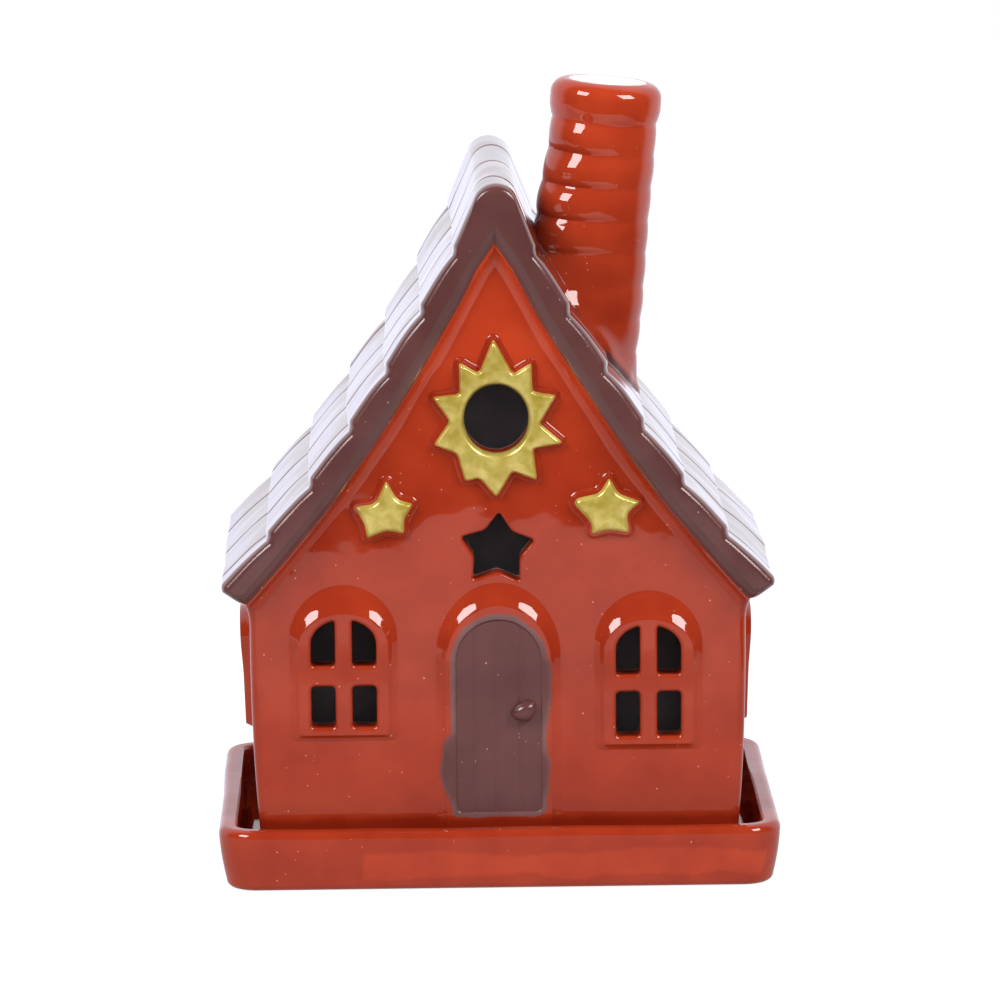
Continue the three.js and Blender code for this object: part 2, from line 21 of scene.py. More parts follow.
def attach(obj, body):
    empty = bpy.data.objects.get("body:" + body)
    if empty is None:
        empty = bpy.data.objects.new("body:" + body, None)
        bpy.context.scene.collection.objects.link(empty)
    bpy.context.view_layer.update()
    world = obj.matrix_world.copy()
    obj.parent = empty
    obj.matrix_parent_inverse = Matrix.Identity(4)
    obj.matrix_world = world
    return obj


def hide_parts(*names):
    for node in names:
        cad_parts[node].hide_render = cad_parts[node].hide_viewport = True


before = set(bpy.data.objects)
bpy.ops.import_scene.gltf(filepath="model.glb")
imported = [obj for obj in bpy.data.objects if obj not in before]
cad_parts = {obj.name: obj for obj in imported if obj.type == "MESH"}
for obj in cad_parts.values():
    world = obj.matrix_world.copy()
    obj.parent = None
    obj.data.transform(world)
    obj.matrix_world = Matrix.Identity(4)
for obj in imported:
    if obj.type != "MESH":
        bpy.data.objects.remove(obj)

log = logging.getLogger("burner")

MM = 0.001
WELD = 1e-4
SEED = 11
BASE = 4.0  # the tray's floor
FRONT = -34.0  # the front wall's face
SUN_HEIGHT = 92.67
LARGEST_TRIM = 0.45  # share of a side that a rounding may take
ARCH_STEPS = (5, 14, 12, 56)  # along a corner, the foot, a side and the head

Point = tuple[float, float]
Colour = tuple[float, float, float, float]
Socket = bpy.types.NodeSocket
Material = bpy.types.Material
Piece = bpy.types.Object


class Body(Enum):
    """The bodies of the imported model."""

    TRAY = "tray"
    DISH = "cone_dish"
    HOUSE = "house"


class Slot(Enum):
    """The record's material slots."""

    RED = "red_glaze"
    BROWN = "brown_glaze"
    GOLD = "gold_lustre"
    BRASS = "brass"


class Side(Enum):
    """The two sides of the house, as the sign of X."""

    LEFT = -1
    RIGHT = 1


# Outlines


def smooth(value: float, zero: float, one: float) -> float:
    """Goes smoothly from 0 to 1 between two values."""
    share = min(max((value - zero) / (one - zero), 0.0), 1.0)
    return share * share * (3 - 2 * share)


def sweep(centre: Point, radii: Point | float, start: float, end: float, steps: int) -> list[Point]:
    """Points along the arc of an ellipse or a circle, both ends included.

    Args:
        centre: its middle.
        radii: half its width and half its height, or its radius.
        start: angle of the first point, in degrees.
        end: angle of the last point, in degrees.
        steps: number of steps between them.

    Returns:
        The points, in order.
    """
    wide, tall = radii if isinstance(radii, tuple) else (radii, radii)
    angles = [math.radians(start + (end - start) * i / steps) for i in range(steps + 1)]
    return [(centre[0] + wide * math.cos(a), centre[1] + tall * math.sin(a)) for a in angles]


def corners(half: Point, radius: float, steps: int) -> list[list[Point]]:
    """The round corners of a rectangle about the origin.

    Args:
        half: half its width and half its height.
        radius: radius of its corners.
        steps: number of steps along a corner.

    Returns:
        The four arcs, anticlockwise.
    """
    x, y = half[0] - radius, half[1] - radius
    signs = ((1, 1), (-1, 1), (-1, -1), (1, -1))
    return [sweep((sx * x, sy * y), radius, 90 * i, 90 * i + 90, steps) for i, (sx, sy) in enumerate(signs)]


def soften(outline: Sequence[Point], trim: float, steps: int = 5) -> list[Point]:
    """Rounds the corners of a closed outline.

    Args:
        outline: its corners, in order.
        trim: how far each side is cut back from a corner, at most.
        steps: steps along each rounding.

    Returns:
        The rounded outline.
    """
    rounded: list[Point] = []
    for i, here in enumerate(outline):
        corner = Vector(here)
        near = [Vector(outline[i - 1]), Vector(outline[(i + 1) % len(outline)])]
        start, end = (corner.lerp(p, min(trim / (p - corner).length, LARGEST_TRIM)) for p in near)
        for step in range(steps + 1):
            t = step / steps
            rounded.append(tuple(start.lerp(corner, t).lerp(corner.lerp(end, t), t)))
    return rounded


def respace(outline: Sequence[Point], count: int) -> list[Point]:
    """Spreads a number of points evenly along a closed outline.

    Args:
        outline: points of the outline, in order.
        count: number of points wanted.

    Returns:
        The evenly spaced points, from the outline's first point on.
    """
    points = [Vector(p) for p in outline] + [Vector(outline[0])]
    reach = [0.0]
    for a, b in zip(points, points[1:]):
        reach.append(reach[-1] + (b - a).length)
    spaced: list[Point] = []
    at = 0
    for i in range(count):
        wanted = reach[-1] * i / count
        while reach[at + 1] < wanted:
            at += 1
        share = (wanted - reach[at]) / max(reach[at + 1] - reach[at], 1e-9)
        spaced.append(tuple(points[at].lerp(points[at + 1], share)))
    return spaced


def widen(outline: Sequence[Point], by: float) -> list[Point]:
    """Moves a closed outline outwards.

    Args:
        outline: points in anticlockwise order, as seen from the front.
        by: distance, negative to move inwards.

    Returns:
        The moved outline, with as many points.
    """
    moved: list[Point] = []
    for i, here in enumerate(outline):
        before, after = Vector(outline[i - 1]), Vector(outline[(i + 1) % len(outline)])
        along = (after - before).normalized()
        moved.append((here[0] + along.y * by, here[1] - along.x * by))
    return moved


def blend(first: Sequence[Point], second: Sequence[Point], share: float) -> list[Point]:
    """The outline a share of the way from one outline to another with as many points."""
    return [(a[0] + (b[0] - a[0]) * share, a[1] + (b[1] - a[1]) * share) for a, b in zip(first, second)]


def arch(x: float, half: float, foot: float, spring: float, rise: float, corner: float) -> list[Point]:
    """An arch with straight sides, half an ellipse on top and slightly round lower corners.

    Args:
        x: middle of the arch.
        half: half its width.
        foot: height of its foot.
        spring: height where its head starts.
        rise: height of its head.
        corner: rounding of the lower corners.

    Returns:
        The outline, anticlockwise, always with the same number of points.
    """
    at_corner, at_foot, at_side, at_head = ARCH_STEPS
    low, out = foot + corner, half - corner
    climb = [low + (spring - low) * i / at_side for i in range(1, at_side)]
    return [
        *sweep((x - out, low), corner, 180, 270, at_corner),
        *((x - out + 2 * out * i / at_foot, foot) for i in range(1, at_foot)),
        *sweep((x + out, low), corner, 270, 360, at_corner),
        *((x + half, z) for z in climb),
        *sweep((x, spring), (half, rise), 0, 180, at_head),
        *((x - half, z) for z in reversed(climb)),
    ]


def hand(point: Vector, reach: float, size: float) -> Vector:
    """Moves a point by up to a reach, as a hand-made surface strays over lengths of about a size."""
    return point + noise.noise_vector(point / size) * reach


# Meshes


class Mould:
    """A mesh in the making, in millimetres, shaped with bmesh operators."""

    def __init__(self) -> None:
        """Starts with an empty mesh."""
        self.bm = bmesh.new()

    def wire(self, points: Iterable[Vector], closed: bool) -> list[bmesh.types.BMEdge]:
        """Lays a line of edges.

        Args:
            points: the places it runs through.
            closed: whether it comes back to its start.

        Returns:
            The edges, in order.
        """
        verts = [self.bm.verts.new(point) for point in points]
        ends = verts[1:] + verts[:1] if closed else verts[1:]
        return [self.bm.edges.new(pair) for pair in zip(verts, ends)]

    def loft(self, rings: Sequence[Sequence[Vector]], caps: int = 2) -> Mould:
        """Carries a closed ring through a row of rings, by extruding its edges again and again.

        Args:
            rings: rings with the same number of points each, in order.
            caps: how many of the first and the last ring are closed with faces.

        Returns:
            This mould.
        """
        edges = self.wire(rings[0], closed=True)
        verts = [edge.verts[0] for edge in edges]
        first = edges
        for ring in rings[1:]:
            made = bmesh.ops.extrude_edge_only(self.bm, edges=edges)["geom"]
            fresh = {item for item in made if isinstance(item, bmesh.types.BMVert)}
            verts = [next(e.other_vert(v) for e in v.link_edges if e.other_vert(v) in fresh) for v in verts]
            for vert, place in zip(verts, ring):
                vert.co = place
            edges = [self.bm.edges.get(pair) for pair in zip(verts, verts[1:] + verts[:1])]
        for ring in (first, edges)[:caps]:
            cap = bmesh.ops.edgeloop_fill(self.bm, edges=ring)["faces"]
            bmesh.ops.triangulate(self.bm, faces=cap)
        return self

    def turn(self, profile: Sequence[Vector], centre: Vector, axis: Vector, steps: int) -> Mould:
        """Spins a profile all the way round an axis.

        Args:
            profile: the places that the profile runs through.
            centre: a point of the axis.
            axis: its direction.
            steps: number of steps round it.

        Returns:
            This mould.
        """
        edges = self.wire(profile, closed=False)
        geom = list({vert for edge in edges for vert in edge.verts}) + edges
        whole = 2 * math.pi
        bmesh.ops.spin(self.bm, geom=geom, cent=centre, axis=axis, angle=whole, steps=steps, use_merge=True)
        return self

    def cut(self, place: Vector, normal: Vector) -> list[bmesh.types.BMEdge]:
        """Cuts off what lies beyond a plane.

        Args:
            place: a point of the plane.
            normal: its direction, towards what is cut off.

        Returns:
            The edges of the cut.
        """
        geom = [*self.bm.verts, *self.bm.edges, *self.bm.faces]
        made = bmesh.ops.bisect_plane(self.bm, geom=geom, plane_co=place, plane_no=normal, clear_outer=True)
        return [item for item in made["geom_cut"] if isinstance(item, bmesh.types.BMEdge)]

    def place(self, matrix: Matrix) -> Mould:
        """Moves everything made so far."""
        bmesh.ops.transform(self.bm, matrix=matrix, verts=self.bm.verts[:])
        return self

    def cast(self, name: str) -> Piece:
        """Welds the mesh, turns its faces outwards and frees it as an object in metres.

        Args:
            name: the object's name.

        Returns:
            The object, at the origin.
        """
        bmesh.ops.remove_doubles(self.bm, verts=self.bm.verts[:], dist=WELD)
        bmesh.ops.recalc_face_normals(self.bm, faces=self.bm.faces[:])
        bmesh.ops.scale(self.bm, vec=Vector((MM, MM, MM)), verts=self.bm.verts[:])
        return self.free(name)

    def free(self, name: str) -> Piece:
        """Frees the mesh as an object, as it is.

        Args:
            name: the object's name.

        Returns:
            The object, at the origin.
        """
        mesh = bpy.data.meshes.new(name)
        self.bm.to_mesh(mesh)
        self.bm.free()
        return link(bpy.data.objects.new(name, mesh))


def link(thing: Piece) -> Piece:
    """Puts an object into the scene."""
    bpy.context.scene.collection.objects.link(thing)
    return thing


def carve(piece: Piece, cutters: Sequence[Piece]) -> None:
    """Cuts closed shapes out of a piece for good, and throws them away.

    Args:
        piece: what is cut.
        cutters: the shapes that are cut out.
    """
    tools = bpy.data.collections.new("cutters")
    bpy.context.scene.collection.children.link(tools)
    for cutter in cutters:
        tools.objects.link(cutter)
    boolean = piece.modifiers.new("carve", "BOOLEAN")
    boolean.operation = "DIFFERENCE"
    boolean.operand_type = "COLLECTION"
    boolean.collection = tools
    boolean.solver = "EXACT"
    graph = bpy.context.evaluated_depsgraph_get()
    carved = bpy.data.meshes.new_from_object(piece.evaluated_get(graph))
    piece.modifiers.clear()
    piece.data = carved
    carved.name = piece.name
    for cutter in cutters:
        bpy.data.objects.remove(cutter)
    bpy.data.collections.remove(tools)


def settle(
    piece: Piece, material: Material, slot: Slot, *nodes: str, body: Body = Body.HOUSE, crease: float = 38.0
) -> None:
    """Shades a piece, gives it its finish and sets it on its body.

    Args:
        piece: the finished mesh object.
        material: its finish.
        slot: the record's slot for its finish; not used.
        nodes: the CAD nodes that it stands for.
        body: the body that it rides on.
        crease: edges sharper than this many degrees stay sharp.
    """
    piece.data.materials.clear()
    piece.data.materials.append(material)
    piece.data.shade_smooth()
    piece.data.set_sharp_from_angle(angle=math.radians(crease))
    weighted = piece.modifiers.new("flat faces stay flat", "WEIGHTED_NORMAL")
    weighted.keep_sharp = True
    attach(piece, body.value)
    if nodes:
        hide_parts(*nodes)
    log.info("%s rides on %s, %d faces", piece.name, body.value, len(piece.data.polygons))


# Finishes


class Shade:
    """Adds and links the nodes of one tree."""

    def __init__(self, tree: bpy.types.NodeTree) -> None:
        """Works on a tree that exists."""
        self.tree = tree

    @classmethod
    def fresh(cls, owner: Material | bpy.types.World) -> Shade:
        """Empties the tree of a new material or world.

        Args:
            owner: the material or world.

        Returns:
            The shade that fills its tree.
        """
        owner.use_nodes = True
        owner.node_tree.nodes.clear()
        return cls(owner.node_tree)

    def add(self, kind: str, inputs: dict[str | int, object] | None = None, **settings: object) -> bpy.types.Node:
        """Adds a node.

        Args:
            kind: its type.
            inputs: what its inputs get, a value or another node's output.
            settings: its other settings.

        Returns:
            The node.
        """
        node = self.tree.nodes.new(kind)
        for name, value in settings.items():
            setattr(node, name, value)
        for key, value in (inputs or {}).items():
            if isinstance(value, Socket):
                self.tree.links.new(value, node.inputs[key])
            else:
                node.inputs[key].default_value = value
        return node

    def math(self, operation: str, *values: object) -> Socket:
        """One step of arithmetic."""
        return self.add("ShaderNodeMath", dict(enumerate(values)), operation=operation).outputs[0]

    def vector(self, operation: str, *values: object) -> bpy.types.Node:
        """One step of arithmetic with vectors."""
        return self.add("ShaderNodeVectorMath", dict(enumerate(values)), operation=operation)

    def mix(self, factor: object, first: object, second: object) -> Socket:
        """A colour between two, the second where the factor is 1."""
        return self.add("ShaderNodeMix", {0: factor, 6: first, 7: second}, data_type="RGBA").outputs[2]

    def between(self, factor: object, first: object, second: object) -> Socket:
        """A value between two, the second where the factor is 1."""
        return self.add("ShaderNodeMix", {0: factor, 2: first, 3: second}, data_type="FLOAT").outputs[0]

    def ease(self, value: Socket, zero: float, one: float) -> Socket:
        """A mask that goes smoothly from 0 to 1 between two values."""
        inputs = {"Value": value, "From Min": zero, "From Max": one}
        return self.add("ShaderNodeMapRange", inputs, interpolation_type="SMOOTHSTEP").outputs[0]

    def noise(self, place: Socket, scale: float, detail: float = 2.0) -> Socket:
        """Smooth noise of about one bump per 1 / scale metres."""
        return self.add("ShaderNodeTexNoise", {"Vector": place, "Scale": scale, "Detail": detail}).outputs[0]

    def place(self) -> Socket:
        """The object's own coordinates."""
        return self.add("ShaderNodeTexCoord").outputs["Object"]

    def axes(self, place: Socket) -> tuple[Socket, Socket, Socket]:
        """The X, Y and Z of a place."""
        return tuple(self.add("ShaderNodeSeparateXYZ", {0: place}).outputs)

    def radius(self, *parts: Socket) -> Socket:
        """The length of a vector with those parts."""
        vector = self.add("ShaderNodeCombineXYZ", dict(enumerate(parts))).outputs[0]
        return self.vector("LENGTH", vector).outputs["Value"]

    def seen(self, path: bpy.types.Node) -> Socket:
        """1 for rays from the camera, straight or through glass."""
        return self.math("MAXIMUM", path.outputs["Is Camera Ray"], path.outputs["Is Transmission Ray"])

    def surface(self, height: Socket, **inputs: object) -> None:
        """Ends a material with a principled surface.

        Args:
            height: the height of its fine relief, in metres.
            inputs: the surface's other inputs, with _ for a space in their names.
        """
        bump = self.add("ShaderNodeBump", {"Distance": 1.0, "Height": height})
        named = {name.replace("_", " "): value for name, value in inputs.items()}
        surface = self.add("ShaderNodeBsdfPrincipled", {**named, "Normal": bump.outputs["Normal"]})
        self.add("ShaderNodeOutputMaterial", {"Surface": surface.outputs[0]})


@dataclass(frozen=True)
class Mask:
    """A part of a surface, where a field passes from one value to another. A plain mask's field is height."""

    zero: float
    one: float
    stray: float = 0.0
    grain: float = 120.0
    detail: float = 2.0
    within: Mask | None = None

    def field(self, shade: Shade, place: Socket) -> Socket:
        """The height, in metres."""
        return shade.axes(place)[2]

    def draw(self, shade: Shade, place: Socket) -> Socket:
        """Adds the mask's nodes.

        Args:
            shade: the tree.
            place: the object coordinates.

        Returns:
            The mask, 1 in that part.
        """
        field = self.field(shade, place)
        if self.stray:
            wander = shade.math("SUBTRACT", shade.noise(place, self.grain, self.detail), 0.5)
            field = shade.math("MULTIPLY_ADD", wander, self.stray * MM, field)
        mask = shade.ease(field, self.zero * MM, self.one * MM)
        return shade.math("MULTIPLY", mask, self.within.draw(shade, place)) if self.within else mask


@dataclass(frozen=True, kw_only=True)
class Box(Mask):
    """The inside of a box, which may be open along some axes."""

    x: Point | None = None
    y: Point | None = None
    z: Point | None = None

    def field(self, shade: Shade, place: Socket) -> Socket:
        """How far a place lies beyond the box.

        Args:
            shade: the tree.
            place: the object coordinates.

        Returns:
            The distance, in metres.
        """
        field = None
        for value, span in zip(shade.axes(place), (self.x, self.y, self.z)):
            if span:
                from_middle = shade.math("SUBTRACT", value, sum(span) / 2 * MM)
                beyond = shade.math("SUBTRACT", shade.math("ABSOLUTE", from_middle), (span[1] - span[0]) / 2 * MM)
                field = shade.math("MAXIMUM", field, beyond) if field else beyond
        return field


@dataclass(frozen=True, kw_only=True)
class OverSlope(Mask):
    """What lies at a height over the roof's right slope, or over the nearer of its slopes."""

    line: RoofLine
    nearer: bool = False

    def field(self, shade: Shade, place: Socket) -> Socket:
        """Height square to the slope.

        Args:
            shade: the tree.
            place: the object coordinates.

        Returns:
            The height, in metres.
        """
        x, _, z = shade.axes(place)
        across = shade.math("MULTIPLY", shade.math("ABSOLUTE", x) if self.nearer else x, math.sin(self.line.pitch))
        below = shade.math("SUBTRACT", z, self.line.ridge * MM)
        return shade.math("MULTIPLY_ADD", below, math.cos(self.line.pitch), across)


@dataclass(frozen=True, kw_only=True)
class FromAxis(Mask):
    """What lies at a distance from an axis."""

    point: Vector
    axis: Vector

    def field(self, shade: Shade, place: Socket) -> Socket:
        """The distance from the axis, in metres."""
        from_point = shade.vector("SUBTRACT", place, self.point * MM).outputs[0]
        return shade.vector("LENGTH", shade.vector("CROSS_PRODUCT", from_point, self.axis).outputs[0]).outputs["Value"]


@dataclass(frozen=True, kw_only=True)
class DoorPaint(Mask):
    """The brown round the door, brushed past the leaf here and there."""

    half: float = 9.5
    foot: float = 13.1
    spring: float = 44.5
    run_blend: float = 1.2
    foot_blend: float = 3.5
    runs: tuple[tuple[float, float, float, float], ...] = (
        (-11.4, 23.2, 7.4, 3.2),
        (10.3, 39.0, 7.5, 2.0),
        (9.9, 22.0, 4.5, 1.6),
    )

    def field(self, shade: Shade, place: Socket) -> Socket:
        """How far a place lies beyond the brown.

        Args:
            shade: the tree.
            place: the object coordinates.

        Returns:
            The distance, in metres.
        """
        x, _, z = shade.axes(place)
        above = shade.math("MAXIMUM", shade.math("SUBTRACT", z, self.spring * MM), 0.0)
        beyond = shade.math("SUBTRACT", shade.radius(x, above), self.half * MM)
        for run_x, run_z, tall, wide in self.runs:
            middle = (run_x - math.copysign(wide, run_x)) * MM
            across = shade.math("DIVIDE", shade.math("SUBTRACT", x, middle), wide * MM)
            up = shade.math("DIVIDE", shade.math("SUBTRACT", z, run_z * MM), tall * MM)
            run = shade.math("MULTIPLY", shade.math("SUBTRACT", shade.radius(across, up), 1.0), wide * MM)
            beyond = shade.math("SMOOTH_MIN", beyond, run, self.run_blend * MM)
        below = shade.math("SUBTRACT", self.foot * MM, z)
        return shade.math("SMOOTH_MAX", beyond, below, self.foot_blend * MM)


@dataclass(frozen=True)
class Finish:
    """A colour that clouds between two tones, and its roughness."""

    deep: Colour
    light: Colour
    roughness: float


@dataclass(frozen=True)
class Layer:
    """A second finish that lies over a glaze where a mask says so."""

    mask: Mask
    finish: Finish


class GlazeSkin:
    """The node group of a thick, slightly wavy glaze: its waves, its clouds and its specks."""

    NAME = "glaze_skin"
    WAVES = 44.0
    RIPPLES = 170.0
    CLOUDS = 95.0
    SPECKS = 480.0
    SPECK_SIZE = 0.085
    SPECK_EDGE = 0.012
    CLOUD_RANGE = (0.25, 0.75)

    @classmethod
    def over(cls, shade: Shade, place: Socket, wave: float, ripple: float) -> bpy.types.Node:
        """Adds the group to a material, with the heights of its waves and ripples in metres."""
        inputs = {"Place": place, "Wave": wave, "Ripple": ripple}
        return shade.add("ShaderNodeGroup", inputs, node_tree=bpy.data.node_groups.get(cls.NAME) or cls.build())

    @classmethod
    def build(cls) -> bpy.types.NodeTree:
        """Builds the group.

        Returns:
            The group, with the waves' height in metres, and clouds and specks as masks.
        """
        tree = bpy.data.node_groups.new(cls.NAME, "ShaderNodeTree")
        tree.interface.new_socket("Place", in_out="INPUT", socket_type="NodeSocketVector")
        for name in ("Wave", "Ripple"):
            tree.interface.new_socket(name, in_out="INPUT", socket_type="NodeSocketFloat")
        for name in ("Height", "Cloud", "Speck"):
            tree.interface.new_socket(name, in_out="OUTPUT", socket_type="NodeSocketFloat")
        shade = Shade(tree)
        entry = shade.add("NodeGroupInput").outputs
        place = entry["Place"]
        wave = shade.math("MULTIPLY", shade.noise(place, cls.WAVES, 1.0), entry["Wave"])
        height = shade.math("MULTIPLY_ADD", shade.noise(place, cls.RIPPLES, 1.0), entry["Ripple"], wave)
        cloud = shade.ease(shade.noise(place, cls.CLOUDS), *cls.CLOUD_RANGE)
        cells = shade.add("ShaderNodeTexVoronoi", {"Vector": place, "Scale": cls.SPECKS}).outputs
        size = shade.math("MULTIPLY", shade.axes(cells["Color"])[0], cls.SPECK_SIZE)
        speck = shade.ease(shade.math("SUBTRACT", cells["Distance"], size), cls.SPECK_EDGE, -cls.SPECK_EDGE)
        shade.add("NodeGroupOutput", {"Height": height, "Cloud": cloud, "Speck": speck})
        return tree


@dataclass(frozen=True)
class Glaze:
    """A glossy pottery glaze, with other finishes laid over parts of it."""

    name: str
    finish: Finish
    speck: Colour
    wave: float
    ripple: float
    layers: tuple[Layer, ...] = ()
    coat: float = 0.0
    coat_roughness: float = 0.05
    ior: float = 1.5
    cloud_dulls: float = 1.6
    dry_ends: float = 0.0
    # painted shade: how far faces that look along Y, the roof's verge fronts, are drawn towards black
    painted_end_shade: float = 0.24
    ends: Point = (0.55, 0.88)

    def material(self) -> Material:
        """Builds the material.

        Returns:
            The material, with its colours, gloss and waves in object coordinates.
        """
        material = bpy.data.materials.new(self.name)
        shade = Shade.fresh(material)
        material.diffuse_color = self.finish.deep
        place = shade.place()
        skin = GlazeSkin.over(shade, place, self.wave, self.ripple).outputs
        colour = shade.mix(skin["Cloud"], self.finish.deep, self.finish.light)
        colour = shade.mix(skin["Speck"], colour, self.speck)
        gloss = shade.between(skin["Cloud"], self.finish.roughness, self.finish.roughness * self.cloud_dulls)
        for layer in self.layers:
            mask = layer.mask.draw(shade, place)
            over = shade.mix(skin["Cloud"], layer.finish.deep, layer.finish.light)
            colour = shade.mix(mask, colour, over)
            gloss = shade.between(mask, gloss, layer.finish.roughness)
        coat: object = self.coat
        if self.dry_ends:
            normal = shade.add("ShaderNodeNewGeometry").outputs["Normal"]
            ends = shade.ease(shade.math("ABSOLUTE", shade.axes(normal)[1]), *self.ends)
            # painted shade: the verge fronts are drawn darker
            colour = shade.mix(shade.math("MULTIPLY", ends, self.painted_end_shade), colour, grey(0.0))
            gloss = shade.between(ends, gloss, self.dry_ends)
            coat = shade.between(ends, self.coat, 0.0)
        shade.surface(
            skin["Height"],
            Base_Color=colour,
            Roughness=gloss,
            IOR=self.ior,
            Coat_Weight=coat,
            Coat_Roughness=self.coat_roughness,
        )
        return material


@dataclass(frozen=True)
class Lustre:
    """A metal or a metal lustre, with a fine grain and a clear gloss over it."""

    name: str
    finish: Finish
    grain: float
    coat: float = 0.0
    coat_roughness: float = 0.06
    metallic: float = 1.0
    rings: float = 0.0
    rings_apart: float = 9000.0
    wave: float = 0.0005
    ripple: float = 0.00014
    brush: float = 1500.0
    mottle: float = 420.0
    mottle_range: Point = (0.3, 0.7)
    mottle_share: float = 0.6
    uneven: float = 0.2

    def material(self) -> Material:
        """Builds the material.

        Returns:
            The material, in object coordinates.
        """
        material = bpy.data.materials.new(self.name)
        shade = Shade.fresh(material)
        material.diffuse_color = self.finish.deep
        place = shade.place()
        skin = GlazeSkin.over(shade, place, self.wave, self.ripple).outputs
        brush = shade.noise(place, self.brush, 3.0)
        mottle = shade.ease(shade.noise(place, self.mottle, 4.0), *self.mottle_range)
        tone = shade.between(self.mottle_share, skin["Cloud"], mottle)
        gloss = [self.finish.roughness * share for share in (1 - self.uneven, 1 + self.uneven)]
        height = shade.math("MULTIPLY_ADD", brush, self.grain, skin["Height"])
        if self.rings:
            x, y, _ = shade.axes(place)
            turned = shade.math("SINE", shade.math("MULTIPLY", shade.radius(x, y), self.rings_apart))
            height = shade.math("MULTIPLY_ADD", turned, self.rings, height)
        shade.surface(
            height,
            Base_Color=shade.mix(tone, self.finish.deep, self.finish.light),
            Metallic=self.metallic,
            Roughness=shade.between(brush, *gloss),
            Coat_Weight=self.coat,
            Coat_Roughness=self.coat_roughness,
        )
        return material


def grey(value: float) -> Colour:
    """A grey, from black at 0 to white at 1."""
    return (value, value, value, 1.0)


RED = Finish((0.243, 0.0198, 0.0058, 1.0), (0.297, 0.0282, 0.0084, 1.0), 0.028)
# painted light: a lighter red for high places, where more light falls
LIT_RED = Finish((0.385, 0.0345, 0.01, 1.0), (0.445, 0.0455, 0.0134, 1.0), 0.05)
WORN_RED = Finish((0.3, 0.0262, 0.0076, 1.0), (0.37, 0.038, 0.011, 1.0), 0.05)
# painted shade: a darker red for the walls' foot, where the tray's rim shades them and is mirrored in them
SHADED_FOOT_RED = Finish((0.17, 0.011, 0.0035, 1.0), (0.2, 0.014, 0.0045, 1.0), 0.04)
ROOF_BROWN = Finish((0.098, 0.032, 0.03, 1.0), (0.126, 0.045, 0.042, 1.0), 0.08)
DOOR_BROWN = Finish((0.08, 0.0245, 0.0225, 1.0), (0.1, 0.033, 0.031, 1.0), 0.24)
KNOB_BROWN = Finish((0.05, 0.015, 0.014, 1.0), ROOF_BROWN.deep, 0.14)
BRUSHED_BROWN = replace(DOOR_BROWN, roughness=0.16)
BROWN_FRINGE = Finish((0.118, 0.05, 0.048, 1.0), (0.148, 0.072, 0.07, 1.0), 0.24)
SOOT = Finish((0.27, 0.23, 0.25, 1.0), (0.36, 0.31, 0.335, 1.0), 0.8)
BARE_CLAY = Finish((0.78, 0.75, 0.73, 1.0), (0.88, 0.86, 0.84, 1.0), 0.7)
GOLD = Finish((0.37, 0.262, 0.022, 1.0), (0.65, 0.53, 0.145, 1.0), 0.31)
BRASS = Finish((0.62, 0.43, 0.14, 1.0), (0.72, 0.53, 0.2, 1.0), 0.3)
RED_SPECK: Colour = (0.5, 0.17, 0.12, 1.0)
BROWN_SPECK: Colour = (0.42, 0.3, 0.29, 1.0)
WARM_PAPER: Colour = (1.0, 0.97, 0.94, 1.0)
# painted shade: the paper's colour in mirrors close to the burner
SHADED_MIRROR_PAPER: Colour = (0.58, 0.56, 0.54, 1.0)
COOL_PAPER: Colour = (0.98, 0.975, 1.13, 1.0)
PALE_ROOM: Colour = (0.8, 0.8, 0.82, 1.0)
MIRRORED_ROOM: Colour = (0.94, 0.93, 1.0, 1.0)
# painted shade: the red turns darker below about 13 mm, a band of shade at the foot
FOOT_SHADE = Layer(Mask(13.9, 12.0, 2.2), SHADED_FOOT_RED)


def red_glaze(name: str, *layers: Layer) -> Material:
    """The brick-red glaze, with other finishes over parts of it."""
    return Glaze(name, RED, RED_SPECK, 0.0004, 0.00004, layers).material()


# Sub-assemblies


